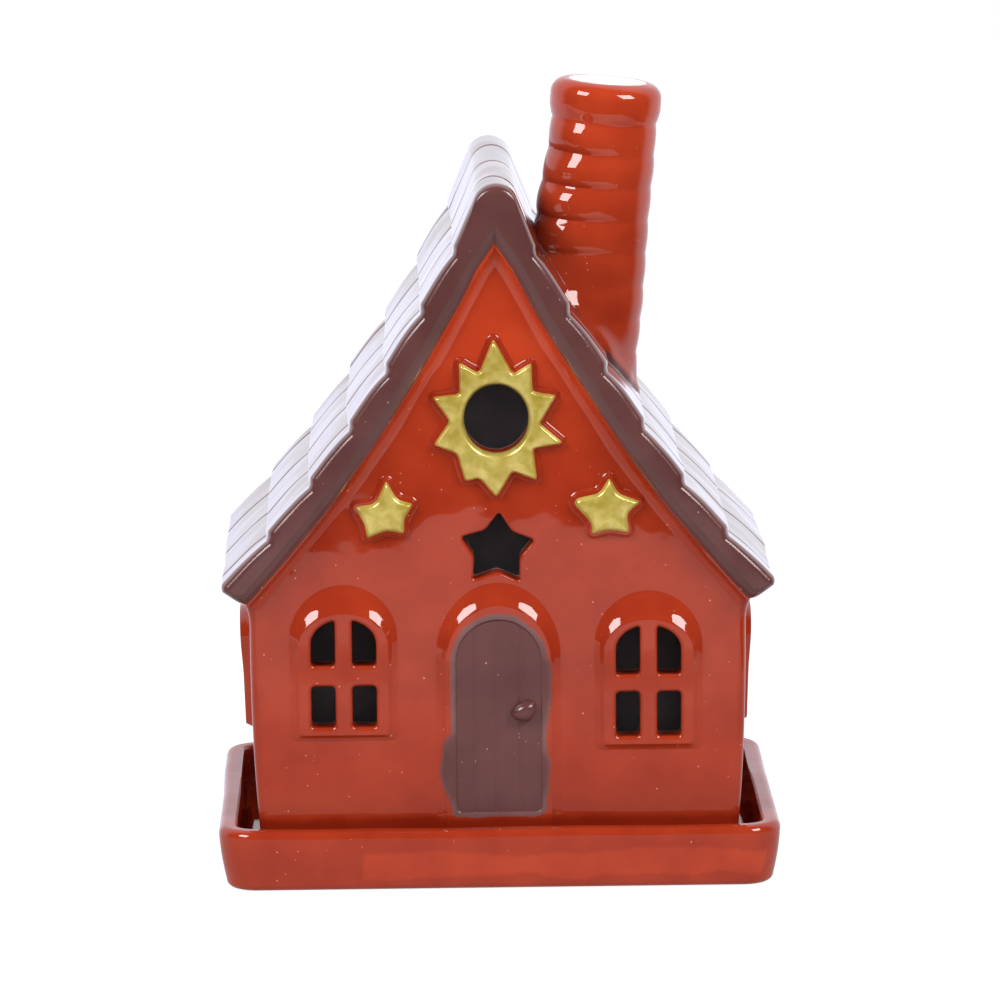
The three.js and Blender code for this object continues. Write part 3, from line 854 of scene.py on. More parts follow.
@dataclass(frozen=True)
class Tray:
    """The rectangular tray that the house stands on."""

    width: float = 110.6
    depth: float = 84.6
    height: float = 12.2
    corner: float = 7.5
    least_corner: float = 1.6
    draw_in: float = 1.3
    foot_round: float = 1.5
    shoulder: float = 1.6
    lip: float = 1.0
    rim: float = 3.8
    slant: float = 0.4
    fillet: float = 2.2
    side_steps: int = 22
    stray: float = 0.22
    stray_size: float = 21.0
    stray_from: float = 4.0
    worn_x: Point = (-27.0, 53.0)
    worn_z: Point = (2.6, 7.6)
    worn_y: Point = (-44.0, -40.0)

    def profile(self) -> list[Point]:
        """The rim in section.

        Returns:
            Distance in from the outside and height, from the underside to the floor.
        """
        top = self.height - self.shoulder
        rise = top - self.foot_round
        side = [(self.draw_in * (1 - s) ** 1.5, self.foot_round + rise * s) for s in (0.2, 0.4, 0.6, 0.8)]
        return [
            *sweep((self.draw_in + self.foot_round, self.foot_round), self.foot_round, 270, 180, 7),
            *side,
            *sweep((self.shoulder, top), self.shoulder, 180, 90, 7),
            *sweep((self.rim - self.lip, self.height - self.lip), self.lip, 80, 0, 6),
            *sweep((self.rim + self.slant + self.fillet, BASE + self.fillet), self.fillet, 180, 270, 6),
        ]

    def ring(self, inset: float, z: float) -> list[Vector]:
        """The tray's outline at a height.

        Args:
            inset: distance in from the outside.
            z: the height.

        Returns:
            A rounded rectangle that strays a little, as a pressed one does.
        """
        half = (self.width / 2 - inset, self.depth / 2 - inset)
        arcs = corners(half, max(self.corner - inset, self.least_corner), 10)
        outline: list[Point] = []
        for arc, after in zip(arcs, arcs[1:] + arcs[:1]):
            end, start = Vector(arc[-1]), Vector(after[0])
            outline += arc + [tuple(end.lerp(start, i / self.side_steps)) for i in range(1, self.side_steps)]
        stray = self.stray * min(z / self.stray_from, 1)
        return [hand(Vector((x, y, z)), stray, self.stray_size) for x, y in outline]

    def build(self) -> None:
        """Makes the tray and glazes it, thinner on a patch of its front."""
        tray = Mould().loft([self.ring(inset, z) for inset, z in self.profile()]).cast("tray_glazed")
        front = Box(0.0, -0.5, y=self.worn_y)
        worn = Layer(Box(0.5, -0.5, 5.0, 90.0, 3.0, front, x=self.worn_x, z=self.worn_z), WORN_RED)
        settle(tray, red_glaze("red_glaze_tray", worn), Slot.RED, "tray", body=Body.TRAY)


@dataclass(frozen=True)
class ConeDish:
    """The loose brass dish under the incense cone."""

    radius: float = 17.0
    foot: float = 11.0
    height: float = 4.5
    wall: float = 1.2
    bead: float = 0.72

    def build(self) -> None:
        """Spins the dish and polishes it."""
        bead = self.bead
        inner = self.foot - self.wall / 2
        profile = [
            (0, 0),
            (self.foot - 1, 0),
            (self.foot - 0.2, 0.25),
            *sweep((self.radius - bead, self.height - bead), bead, -50, 150, 10),
            (inner + 1.2, self.wall + 0.75),
            (inner + 0.3, self.wall + 0.2),
            (inner - 0.8, self.wall),
            (0, self.wall),
        ]
        places = [Vector((r, 0, BASE + h)) for r, h in profile]
        dish = Mould().turn(places, Vector(), Vector((0, 0, 1)), 72).cast("cone_dish_spun")
        brass = Lustre("brass", BRASS, 0.00001, rings=0.000012)
        settle(dish, brass.material(), Slot.BRASS, "cone_dish", body=Body.DISH)


@dataclass(frozen=True)
class RoofLine:
    """The roof in section, which the roof, the walls and the chimney share."""

    apex: float = 126.57
    pitch: float = math.radians(55.14)
    thickness: float = 7.0
    slope: float = 96.08
    ridge_row: float = 15.7
    hollow: float = 2.7

    @property
    def ridge(self) -> float:
        """Height where the two slopes would meet."""
        return self.apex + self.thickness / math.cos(self.pitch)

    def sag(self, down: float) -> float:
        """How far the slope hangs below a straight line, at a distance down from the ridge."""
        share = min(max((down - self.ridge_row) / (self.slope - self.ridge_row), 0), 1)
        return 4 * self.hollow * share * (1 - share)

    def point(self, down: float, out: float) -> Point:
        """A point of the right slope.

        Args:
            down: distance from the ridge along the slope.
            out: height square to the slope.

        Returns:
            Its X and Z.
        """
        sine, cosine = math.sin(self.pitch), math.cos(self.pitch)
        height = out - self.sag(down)
        return down * cosine + height * sine, self.ridge - down * sine + height * cosine

    def underside(self, end: float, lift: float, steps: int = 24) -> list[Point]:
        """The right half of the roof's underside.

        Args:
            end: distance down the slope where it ends.
            lift: how far into the roof it is raised.
            steps: number of steps below the ridge row.

        Returns:
            Its points, from the apex down.
        """
        downs = [self.ridge_row + (end - self.ridge_row) * i / steps for i in range(steps + 1)]
        apex = (0.0, self.apex + lift / math.cos(self.pitch))
        return [apex, *(self.point(down, lift - self.thickness) for down in downs)]


def plain(_: float) -> float:
    """The face of a plain wall, at every height."""
    return 0.0


@dataclass(frozen=True)
class Opening:
    """A hole through a wall, with a rounded edge at its outer face."""

    outline: Sequence[Point]
    back: float
    edge: float
    face: Callable[[float], float] = plain
    turns: tuple[float, ...] = (0, 20, 40, 60, 78)
    beyond: Point = (0.12, -0.6)

    def cutter(self, name: str, matrix: Matrix, spare: float = 0.0) -> Piece:
        """The shape that cuts the hole.

        Args:
            name: the object's name.
            matrix: carries it from its drawing plane onto the wall.
            spare: how much wider it is cut all along.

        Returns:
            The cutter, which flares where it leaves the face.
        """
        angles = [math.radians(turn) for turn in self.turns]
        flare = [(self.edge * (1 - math.cos(a)), self.edge * (1 - math.sin(a))) for a in angles]
        flare.append((flare[-1][0] + self.beyond[0], self.beyond[1]))
        rings = [[Vector((x, self.back, z)) for x, z in widen(self.outline, spare)]]
        for by, deep in flare:
            rings.append([Vector((x, self.face(z) + deep, z)) for x, z in widen(self.outline, by + spare)])
        return Mould().loft(rings).place(matrix).cast(name)


@dataclass(frozen=True)
class Surround:
    """An arched boss round a door or a window, with a sloping hood."""

    x: float
    half: float
    foot: float
    spring: float
    rise: float
    face_half: float
    face_foot: float
    face_rise: float
    proud: float
    low: float
    fade: float = 8.0
    slopes: tuple[Point, ...] = ((0.0, 0.0), (0.15, 0.8), (0.52, 0.8), (0.64, 1.25), (0.93, 1.25), (1.0, 0.0))
    clearance: float = 0.012
    buried: float = 0.4
    corner: float = 1.4
    face_corner: float = 1.0
    steps: int = 28
    crowding: float = 1.25
    face_shares: tuple[float, ...] = (0.7, 0.35, 0.0)

    def swell(self, t: float) -> float:
        """How far the boss has risen at a share of the way in: a hollow start, a lip and a crisp edge.

        Args:
            t: the share of the way from the outline to the face.

        Returns:
            The share of its height.
        """
        risen = whole = 0.0
        for (start, before), (end, after) in zip(self.slopes, self.slopes[1:]):
            whole += (end - start) * (before + after) / 2
            reach = min(max(t, start), end)
            here = before + (after - before) * (reach - start) / (end - start)
            risen += (reach - start) * (before + here) / 2
        return risen / whole

    def height(self, z: float) -> float:
        """How far the face stands out at a height: the hood juts out, and the sides lie low."""
        return self.proud * (self.low + (1 - self.low) * smooth(z, self.spring - self.fade, self.spring))

    def face(self, z: float) -> float:
        """The Y of the face at a height, over the drawing plane."""
        return -self.clearance - self.height(z)

    def build(self, name: str, matrix: Matrix) -> Piece:
        """Makes the boss.

        Args:
            name: the object's name.
            matrix: carries it from its drawing plane, y = 0, onto the wall.

        Returns:
            The boss, with nothing cut out yet.
        """
        outer = arch(self.x, self.half, self.foot, self.spring, self.rise, self.corner)
        inner = arch(self.x, self.face_half, self.face_foot, self.spring, self.face_rise, self.face_corner)
        rings = [[Vector((x, self.buried, z)) for x, z in outer]]
        for step in range(self.steps + 1):
            t = 1 - (1 - step / self.steps) ** self.crowding
            swell = self.swell(t)
            ring = blend(outer, inner, t)
            rings.append([Vector((x, -self.clearance - self.height(z) * swell, z)) for x, z in ring])
        for share in self.face_shares:
            rings.append([Vector((self.x + (x - self.x) * share, self.face(z), z)) for x, z in inner])
        return Mould().loft(rings, caps=1).place(matrix).cast(name)


@dataclass(frozen=True)
class Window:
    """A window of four panes in an arched surround."""

    place: str
    side: Side
    matrix: Matrix
    x: float
    sill: float
    lower: float
    upper: float
    head: float
    hood: float
    lip: float
    transom: float = 3.4
    pane: float = 5.1
    mullion: float = 3.3
    border: float = 4.1
    sill_border: float = 2.4
    foot_spread: float = 0.4
    hood_spread: float = 0.5
    face_in: float = 2.2
    face_lift: float = 1.0
    proud: float = 1.9
    low: float = 0.4
    wall: float = 7.8
    corner: float = 0.9
    edge: float = 0.8

    @property
    def half(self) -> float:
        """Half the width of the four panes."""
        return self.pane + self.mullion / 2

    @property
    def top(self) -> float:
        """Height of the panes' crown."""
        return self.sill + self.lower + self.transom + self.upper

    def panes(self) -> list[list[Point]]:
        """The four panes.

        Returns:
            Their outlines, anticlockwise, with round corners.
        """
        middle, near, far = self.x, self.x + self.mullion / 2, self.x + self.half
        sill, top, foot = self.sill, self.sill + self.lower, self.sill + self.lower + self.transom
        turn = math.degrees(math.acos(self.mullion / 2 / self.half))
        crown = sweep((middle, self.top - self.head), (self.half, self.head), 0, turn, 10)
        lower = [(near, sill), (far, sill), (far, top), (near, top)]
        upper = [(near, foot), (far, foot), *crown]
        right = [respace(soften(lower, self.corner), 64), respace(soften(upper, self.corner), 72)]
        left = [[(2 * middle - x, z) for x, z in reversed(outline)] for outline in right]
        return right + left

    @property
    def surround(self) -> Surround:
        """The boss round the panes."""
        return Surround(
            x=self.x,
            half=self.half + self.border,
            foot=self.sill - self.sill_border - self.foot_spread,
            spring=self.top - self.head,
            rise=self.head + self.hood + self.hood_spread,
            face_half=self.half + self.border - self.face_in,
            face_foot=self.sill - self.sill_border + self.face_lift,
            face_rise=self.head + self.lip,
            proud=self.proud,
            low=self.low,
        )

    def cutters(self, spare: float) -> list[Piece]:
        """The shapes that cut the panes, wider than the panes by spare."""
        openings = [Opening(pane, self.wall, self.edge, self.surround.face) for pane in self.panes()]
        return [opening.cutter("pane", self.matrix, spare) for opening in openings]

    def build(self, material: Material) -> None:
        """Makes the surround, cuts its panes and glazes it.

        Args:
            material: its glaze.
        """
        side = self.side.name.lower()
        boss = self.surround.build(f"{self.place}_window_{side}_glazed", self.matrix)
        carve(boss, self.cutters(0.0))
        settle(boss, material, Slot.RED, f"{self.place}_window_surround_{side}")


@dataclass(frozen=True)
class Door:
    """The blind door: its surround, its planked leaf and its knob."""

    foot: float = 14.2
    half: float = 8.2
    spring: float = 44.5
    corner: float = 0.9
    border: float = 4.3
    hood: float = 6.9
    lip: float = 3.0
    base: float = 4.2
    hood_spread: float = 0.4
    face_in: float = 2.3
    face_lift: float = 0.6
    proud: float = 1.7
    low: float = 0.45
    grooves: tuple[float, ...] = (-4.7, -0.5, 4.3)
    groove_half: float = 0.6
    groove_depth: float = 0.2
    recess: float = 0.16
    recess_back: float = 1.0
    recess_edge: float = 0.5
    leaf_back: float = 0.3
    tuck: float = 0.1
    columns: int = 96
    rows: int = 40
    knob: Point = (4.9, 34.6)
    knob_radius: float = 2.35
    knob_girth: tuple[float, float, float] = (1.15, 0.8, 0.72)
    knob_droop: tuple[float, float, float] = (-0.2, -0.15, 0.3)
    knob_turn: float = math.radians(-28)
    knob_stand: float = 0.4
    knob_cut: float = 0.9

    @property
    def matrix(self) -> Matrix:
        """Carries the drawing plane onto the front wall."""
        return Matrix.Translation((0, FRONT, 0))

    @property
    def boss(self) -> Surround:
        """The arched boss round the leaf."""
        return Surround(
            x=0.0,
            half=self.half + self.border,
            foot=self.base,
            spring=self.spring,
            rise=self.half + self.hood + self.hood_spread,
            face_half=self.half + self.border - self.face_in,
            face_foot=self.base + self.face_lift,
            face_rise=self.half + self.lip,
            proud=self.proud,
            low=self.low,
        )

    def surround(self, material: Material) -> None:
        """Makes the arched surround with the leaf's recess in it.

        Args:
            material: its glaze.
        """
        boss = self.boss.build("door_surround_glazed", self.matrix)
        leaf = arch(0, self.half, self.foot, self.spring, self.half, self.corner)
        recess = Opening(leaf, self.recess_back, self.recess_edge, self.boss.face)
        carve(boss, [recess.cutter("recess", self.matrix)])
        settle(boss, material, Slot.RED, "door_surround")

    def face(self, z: float) -> float:
        """The Y of the leaf's face at a height: it follows the boss, a little deeper."""
        return self.boss.face(z) + self.recess

    def planks(self, x: float) -> float:
        """How deep the leaf's face lies at a place across it, in the soft grooves between its planks."""
        shares = [min(abs(x - groove) / self.groove_half, 1.0) for groove in self.grooves]
        return sum(self.groove_depth * (1 + math.cos(math.pi * share)) / 2 for share in shares)

    def leaf(self, material: Material) -> None:
        """Makes the planked leaf, column by column of its face.

        Args:
            material: its glaze.
        """
        half = self.half + self.tuck
        rings = []
        for step in range(self.columns + 1):
            x = half * math.sin(math.pi * (step / self.columns - 0.5))
            top = self.spring + math.sqrt(half * half - x * x)
            column = [self.foot - self.tuck + (top - self.foot) * i / self.rows for i in range(self.rows + 1)]
            front = [Vector((x, self.face(z) + self.planks(x), z)) for z in column]
            rings.append(front + [Vector((x, self.leaf_back, z)) for z in reversed(column)])
        leaf = Mould().loft(rings).place(self.matrix).cast("door_leaf_glazed")
        settle(leaf, material, Slot.BROWN, "door_leaf")

    def handle(self, material: Material) -> None:
        """Makes the knob, a blob of glazed clay that has sunk a little.

        Args:
            material: its glaze.
        """
        mould = Mould()
        wide, deep, tall = self.knob_girth
        narrow, forward, sink = self.knob_droop
        bmesh.ops.create_uvsphere(mould.bm, u_segments=32, v_segments=20, radius=self.knob_radius)
        for vert in mould.bm.verts:
            x, y, z = vert.co
            droop = max(-z / self.knob_radius, 0)
            vert.co = Vector((x * (wide + narrow * droop), y * deep + forward * droop, z * (tall + sink * droop)))
        rim = mould.cut(Vector((0, self.knob_cut, 0)), Vector((0, 1, 0)))
        bmesh.ops.edgeloop_fill(mould.bm, edges=rim)
        x, z = self.knob
        place = Matrix.Translation((x, FRONT + self.face(z) - self.knob_stand, z))
        knob = mould.place(place @ Matrix.Rotation(self.knob_turn, 4, "Y")).cast("door_knob_glazed")
        settle(knob, material, Slot.BROWN, "door_knob")

    def build(self) -> None:
        """Makes the door's three pieces and glazes them."""
        fringe = Layer(DoorPaint(0.2, -0.2, 1.1, 260.0), BROWN_FRINGE)
        paint = Layer(DoorPaint(0.8, -0.8, 1.1, 260.0, half=8.5, foot=14.2), BRUSHED_BROWN)
        # painted shade: the door surround's foot is drawn darker red, as if shaded by the tray's rim
        self.surround(red_glaze("red_glaze_door", FOOT_SHADE, fringe, paint))
        self.leaf(Glaze("brown_glaze_door", DOOR_BROWN, BROWN_SPECK, 0.00016, 0.00002).material())
        self.handle(Glaze("brown_glaze_knob", KNOB_BROWN, BROWN_SPECK, 0.0002, 0.00004).material())


@dataclass(frozen=True)
class Ornament:
    """A raised gold ornament on the gable, on a bed of the wall's own clay."""

    name: str
    node: str
    centre: Point
    outline: tuple[Point, ...]
    hole: Point | None = None
    trim: float = 1.0
    spread: float = 0.35
    proud: float = 2.0
    bevel: float = 0.9
    dome: float = 0.25
    dome_reach: float = 3.0
    buried: float = 0.3
    hole_edge: float = 0.15
    count: int = 280
    levels: int = 28
    crowding: float = 1.6
    crease: float = 60.0
    skirt: tuple[Point, ...] = ((0.75, -0.2), (0.75, 0.0), (0.62, 0.08), (0.12, 0.43), (0.05, 0.85), (0.01, 1.0))
    bed_hole: float = 1.03

    @property
    def rim(self) -> list[Point]:
        """The outline with soft corners, evenly spaced."""
        return respace(widen(soften(self.outline, self.trim), self.spread), self.count)

    def core(self, rim: Sequence[Point]) -> list[Point]:
        """What the outline shrinks to: the hole, or a speck in the middle."""
        wide, tall = self.hole or (0.05, 0.05)
        return [(wide * math.cos(a), tall * math.sin(a)) for a in (math.atan2(z, x) for x, z in rim)]

    def lift(self, distance: float) -> float:
        """The ornament's height at a distance in from its outline.

        Args:
            distance: the distance.

        Returns:
            The height over the wall.
        """
        edge = math.sin(min(distance / self.bevel, 1.0) * math.pi / 2)
        swell = math.sin(min(distance / self.dome_reach, 1.0) * math.pi / 2)
        return (self.proud - self.dome) * edge + self.dome * swell

    def level(self, outline: Sequence[Point], height: float) -> list[Vector]:
        """An outline about the ornament's middle, at a height over the wall."""
        return [self.at(x, z, height) for x, z in outline]

    def at(self, x: float, z: float, height: float) -> Vector:
        """A point of the ornament, from its middle and its height over the wall."""
        return Vector((self.centre[0] + x, FRONT - height, self.centre[1] + z))

    def cast(self, rings: list[list[Vector]], name: str) -> Piece:
        """Lofts the rings, and back to the first one where there is a hole."""
        loop = rings + rings[:1] if self.hole else rings
        return Mould().loft(loop, caps=0 if self.hole else 2).cast(name)

    def relief(self, material: Material) -> None:
        """Makes the gold relief.

        Args:
            material: the gold.
        """
        rim = self.rim
        core = self.core(rim)
        edge = KDTree(len(rim) * 4)
        for i, (x, z) in enumerate(respace(rim, len(rim) * 4)):
            edge.insert((x, z, 0), i)
        edge.balance()
        rings = [self.level(rim, -self.buried)]
        for level in range(self.levels + 1):
            t = (level / self.levels) ** self.crowding
            ring = []
            for (x, z), a, b in zip(blend(rim, core, t), rim, core):
                height = self.lift(edge.find((x, z, 0))[2])
                if self.hole:
                    from_hole = (1 - t) * math.hypot(a[0] - b[0], a[1] - b[1])
                    height = min(height, self.lift(from_hole + self.hole_edge))
                ring.append(self.at(x, z, height))
            rings.append(ring)
        if self.hole:
            rings.append(self.level(core, -self.buried))
        settle(self.cast(rings, self.name), material, Slot.GOLD, self.node, crease=self.crease)

    def bed(self, material: Material) -> None:
        """Makes the glazed bed under the gold, with a soft foot on the wall.

        Args:
            material: its glaze.
        """
        rim = self.rim
        rings = [self.level(widen(rim, by), height) for by, height in self.skirt]
        if self.hole:
            hole = [(x * self.bed_hole, z * self.bed_hole) for x, z in self.core(rim)]
            rings += [self.level(hole, height) for height in (self.skirt[-1][1], self.skirt[0][1])]
        settle(self.cast(rings, f"{self.name}_bed"), material, Slot.RED, crease=self.crease)

    def build(self, gold: Material, glaze: Material) -> None:
        """Makes the ornament and its bed."""
        self.bed(glaze)
        self.relief(gold)


SUN_OUTLINE: tuple[Point, ...] = (
    *((-0.5, 16.0), (-3.3, 9.1), (-7.2, 11.4), (-7.1, 5.1), (-12.5, 4.5), (-9.1, -0.3), (-12.3, -4.9)),
    *((-7.7, -6.8), (-6.2, -12.3), (-3.4, -11.6), (-0.1, -15.5), (3.1, -10.3), (7.9, -12.2), (7.1, -5.9)),
    *((13.1, -4.9), (8.5, -0.9), (11.8, 4.6), (7.1, 5.4), (6.9, 11.1), (3.3, 8.9)),
)
LEFT_STAR: tuple[Point, ...] = (
    *((0.25, 6.7), (-2.0, 1.95), (-6.2, 1.4), (-4.15, -2.35), (-3.7, -5.4)),
    *((0.1, -3.75), (3.85, -4.45), (3.85, -1.4), (5.8, 1.75), (2.5, 2.75)),
)
RIGHT_STAR: tuple[Point, ...] = (
    *((0.13, 6.8), (-2.0, 3.5), (-6.4, 2.6), (-7.1, 1.3), (-3.55, -2.7), (-3.6, -5.0)),
    *((0.0, -4.1), (4.1, -4.75), (3.65, -0.8), (6.55, 1.7), (1.95, 3.4)),
)
STAR_HOLE: tuple[Point, ...] = (
    *((0.4, 7.6), (-2.4, 3.95), (-7.1, 2.7), (-4.5, -1.2), (-4.85, -5.95)),
    *((0.0, -4.3), (4.3, -6.3), (4.35, -1.5), (7.3, 1.95), (2.95, 3.55)),
)


@dataclass(frozen=True)
class Walls:
    """The four walls with their gables, the holes in them and the fillets under the roof."""

    line: RoofLine
    windows: tuple[Window, ...]
    half_width: float = 46.7
    half_depth: float = -FRONT
    foot_round: Point = (0.9, 0.3)
    flare: float = 2.05
    flare_power: float = 2.4
    lean_steps: int = 16
    cove_foot: float = 51.8
    cove_rise: float = 5.0
    cove_reach: float = 2.2
    corner: float = 1.9
    into_roof: float = 1.4
    short_of_eave: float = 1.5
    apex_half: float = 0.6
    wall: float = 5.0
    inner_half: float = 42.0
    inner_corner: float = 3.0
    inner_reach: Point = (-1.0, 146.57)
    hole_back: float = 7.0
    hole_edge: float = 0.2
    star_edge: float = 0.6
    star_corner: float = 0.8
    sun_hole: Point = (6.35, 6.85)
    star: float = 66.47
    pane_spare: float = 0.12
    fillet: float = 2.5
    fillet_end: float = 0.6
    fillet_into_roof: float = 0.8
    fillet_into_wall: float = 0.5
    stray: float = 0.12
    stray_size: float = 9.0

    def profile(self) -> list[Point]:
        """The walls from the front.

        Returns:
            Half their width and the height, from the base to the apex.
        """
        under, round_up = self.foot_round
        foot = [(self.half_width - under, BASE), (self.half_width - round_up, BASE + round_up)]
        shares = [i / self.lean_steps for i in range(1, self.lean_steps + 1)]
        rise = self.cove_foot - BASE
        lean = [(self.half_width + self.flare * (1 - (1 - s) ** self.flare_power), BASE + rise * s) for s in shares]
        middle = (self.half_width + self.flare + self.cove_reach, self.cove_foot)
        turns = [math.radians(a) for a in (15, 30, 45, 60, 75, 88)]
        cove = [(middle[0] - self.cove_reach * math.cos(a), middle[1] + self.cove_rise * math.sin(a)) for a in turns]
        gable = self.line.underside(self.line.slope - self.short_of_eave, self.into_roof, 12)[::-1]
        top = [(x, z) for x, z in gable if z > cove[-1][1] + 0.2]
        return [*foot, *lean, *cove, *top[:-1], (self.apex_half, top[-1][1] - self.apex_half)]

    def ring(self, half: float, z: float) -> list[Vector]:
        """The walls' outline at a height: a rectangle with round corners."""
        arcs = corners((half, self.half_depth), min(self.corner, half * 0.6), 8)
        return [Vector((x, y, z)) for arc in arcs for x, y in arc]

    def inside(self) -> Piece:
        """A cutter for the hollow of the house.

        Returns:
            The cutter, which reaches past the base and the apex.
        """
        x, y = self.inner_half, self.half_depth - self.wall
        outline = soften([(x, -y), (x, y), (-x, y), (-x, -y)], self.inner_corner)
        rings = [[Vector((px, py, z)) for px, py in outline] for z in self.inner_reach]
        return Mould().loft(rings).cast("inside")

    def holes(self) -> list[Piece]:
        """Cutters for the round hole, the star-shaped hole and the panes.

        Returns:
            The cutters.
        """
        front = Matrix.Translation((0, FRONT, 0))
        disc = sweep((0, SUN_HEIGHT), self.sun_hole, 0, 360, 72)[:-1]
        star = respace(soften([(x, self.star + z) for x, z in STAR_HOLE], self.star_corner), 160)
        holes = ((disc, self.hole_edge), (star, self.star_edge))
        cutters = [Opening(hole, self.hole_back, edge).cutter("hole", front) for hole, edge in holes]
        for window in self.windows:
            cutters += window.cutters(self.pane_spare)
        return cutters

    def fillets(self, material: Material) -> None:
        """Makes the hollow fillets between the gables and the roof, front and back.

        Args:
            material: the walls' glaze.
        """
        half = self.line.underside(self.line.slope - self.fillet_end, 0.0)
        path = [(-x, z) for x, z in reversed(half[1:])] + half
        hollow = sweep((self.fillet, self.fillet), self.fillet, 180, 270, 9)
        above, into = -self.fillet_into_roof, -self.fillet_into_wall
        section = [(above, into), (above, self.fillet), *hollow, (self.fillet, into)]
        for name, face in (("gable_fillet_front", -1), ("gable_fillet_back", 1)):
            rings = []
            for (x, z), before, after in zip(path, path[:1] + path, path[1:] + path[-1:]):
                along = (Vector(after) - Vector(before)).normalized()
                inward = Vector((along.y, -along.x))
                if x == 0:
                    inward /= math.cos(self.line.pitch)
                ring = [Vector((x + inward.x * p, face * (self.half_depth + q), z + inward.y * p)) for p, q in section]
                rings.append([hand(place, self.stray, self.stray_size) for place in ring])
            settle(Mould().loft(rings).cast(name), material, Slot.RED)

    def build(self, material: Material) -> None:
        """Makes the walls, hollows them, cuts their holes and glazes them.

        Args:
            material: their glaze.
        """
        walls = Mould().loft([self.ring(half, z) for half, z in self.profile()]).cast("walls_glazed")
        carve(walls, [self.inside()])
        carve(walls, self.holes())
        settle(walls, material, Slot.RED, "wall_shell")
        self.fillets(material)


@dataclass(frozen=True)
class Chimney:
    """The leaning chimney of soft rings, with a collar and an open flue."""

    line: RoofLine
    mouth: Vector
    lean: float = math.radians(5)
    radius: float = 10.65
    flue: float = 7.0
    flue_lip: float = 0.9
    flue_wall: float = 1.2
    rod_spare: float = 20.0
    collar: float = 7.4
    collar_proud: float = 0.6
    collar_fade: Point = (-2.4, 1.0)
    ring: float = 6.6
    groove: float = 0.25
    groove_power: float = 0.85
    tread: Point = (1.75, 0.4)
    tread_power: float = 2.5
    tuck: Point = (0.8, 1.0)
    treads: int = 4
    lit_power: int = 4
    lit: Point = (-0.6, -0.8)  # where the rings stand out most, to the front and a little to the left
    edge: float = 3.1
    length: float = 76.0
    spacing: float = 0.55
    foot_flare: Point = (0.8, 4.6)
    foot_reach: Point = (1.0, 2.8)
    foot_lift: float = 2.3
    sunk: float = 6.0
    bulge: float = 1.4
    bulge_from: Point = (12.0, 28.0)
    near_roof: float = 4.0
    foot_stray: Point = (0.7, 6.0)
    stray: Point = (0.3, 13.0)

    @property
    def axis(self) -> Vector:
        """The chimney's direction, upwards."""
        return Vector((math.sin(self.lean), 0, math.cos(self.lean)))

    def girth(self, below: float) -> float:
        """The outer radius at a distance below the mouth."""
        start, end = self.collar_fade
        return self.radius + self.collar_proud * (1 - smooth(below, self.collar + start, self.collar + end))

    def waist(self, below: float) -> float:
        """How deep the soft groove between two rings is at a distance below the mouth."""
        share = ((below - self.collar) / self.ring) % 1.0
        return self.groove * (1 - math.sin(math.pi * share**self.groove_power)) if below >= self.collar else 0.0

    def steps(self, below: float) -> float:
        """How far the rings step out on the lit side: each swells from its top and draws in a little at its foot.

        Args:
            below: distance below the mouth.

        Returns:
            The distance that the ring stands out.
        """
        rings = max(below - self.collar, 0.0) / self.ring
        whole = min(int(rings), self.treads)
        share = rings - whole if whole < self.treads else 0.0
        swell, back = self.tread
        rise = swell * (1 - (1 - share) ** self.tread_power) - back * smooth(share, *self.tuck)
        return rise + (swell - back) * 0.5 * (whole - share)

    def foot(self, out: Vector, height: float) -> float:
        """How far the foot spreads at a height over the roof, most of all at the front.

        Args:
            out: direction away from the axis.
            height: height over the roof.

        Returns:
            The spread.
        """
        shares = (1.0, max(-out.y, 0.0) ** 2 * (0.5 - 0.5 * out.x))
        return sum(s * f * math.exp(-height / r) for s, f, r in zip(shares, self.foot_flare, self.foot_reach))

    def profile(self) -> list[Point]:
        """The chimney in section.

        Returns:
            Radius and distance below the mouth, from the foot up the outside and down the flue.
        """
        count = int((self.length - self.edge) / self.spacing)
        outside = [self.length - i * self.spacing for i in range(count)]
        return [
            *((self.girth(below), below) for below in outside),
            *sweep((self.girth(self.edge) - self.edge, self.edge), self.edge, 0, -90, 7),
            *sweep((self.flue + self.flue_lip, self.flue_lip), self.flue_lip, -90, -180, 6),
            *((self.flue, below) for below in (4, 12, 24, 36, 48, 60, self.length)),
        ]

    def flue_cutter(self) -> Piece:
        """A cutter that opens the roof under the chimney.

        Returns:
            The cutter, a rod along the flue.
        """
        rod = Mould()
        size = {"radius1": self.flue, "radius2": self.flue, "depth": self.length + self.rod_spare}
        bmesh.ops.create_cone(rod.bm, cap_ends=True, segments=48, **size)
        down = Matrix.Translation((0, 0, -self.length / 2))
        lean = Matrix.Translation(self.mouth) @ Matrix.Rotation(self.lean, 4, "Y")
        return rod.place(lean @ down).cast("flue")

    def shape(self, place: Vector) -> Vector:
        """Moves a point of the plain tube: rings, a bulge, a spread foot and a hand-made surface.

        Args:
            place: the point.

        Returns:
            Where it belongs. Points of the flue stay.
        """
        from_mouth = place - self.mouth
        along = from_mouth.dot(self.axis)
        away = from_mouth - self.axis * along
        if away.length < self.flue + self.flue_wall:
            return place
        sine, cosine = math.sin(self.line.pitch), math.cos(self.line.pitch)
        height = max(place.x * sine + (place.z - self.line.ridge) * cosine + self.foot_lift, 0.0)
        out = away.normalized()
        lit = max(out.dot(Vector((*self.lit, 0.0))), 0.0)
        spread = self.foot(out, height) + self.steps(-along) * lit**self.lit_power
        spread += self.bulge * smooth(-along, *self.bulge_from) * max(-out.x, 0.0) ** 2
        moved = place + out * (spread - self.waist(-along))
        reach, size = self.foot_stray
        return hand(hand(moved, reach * math.exp(-height / self.near_roof), size), *self.stray)

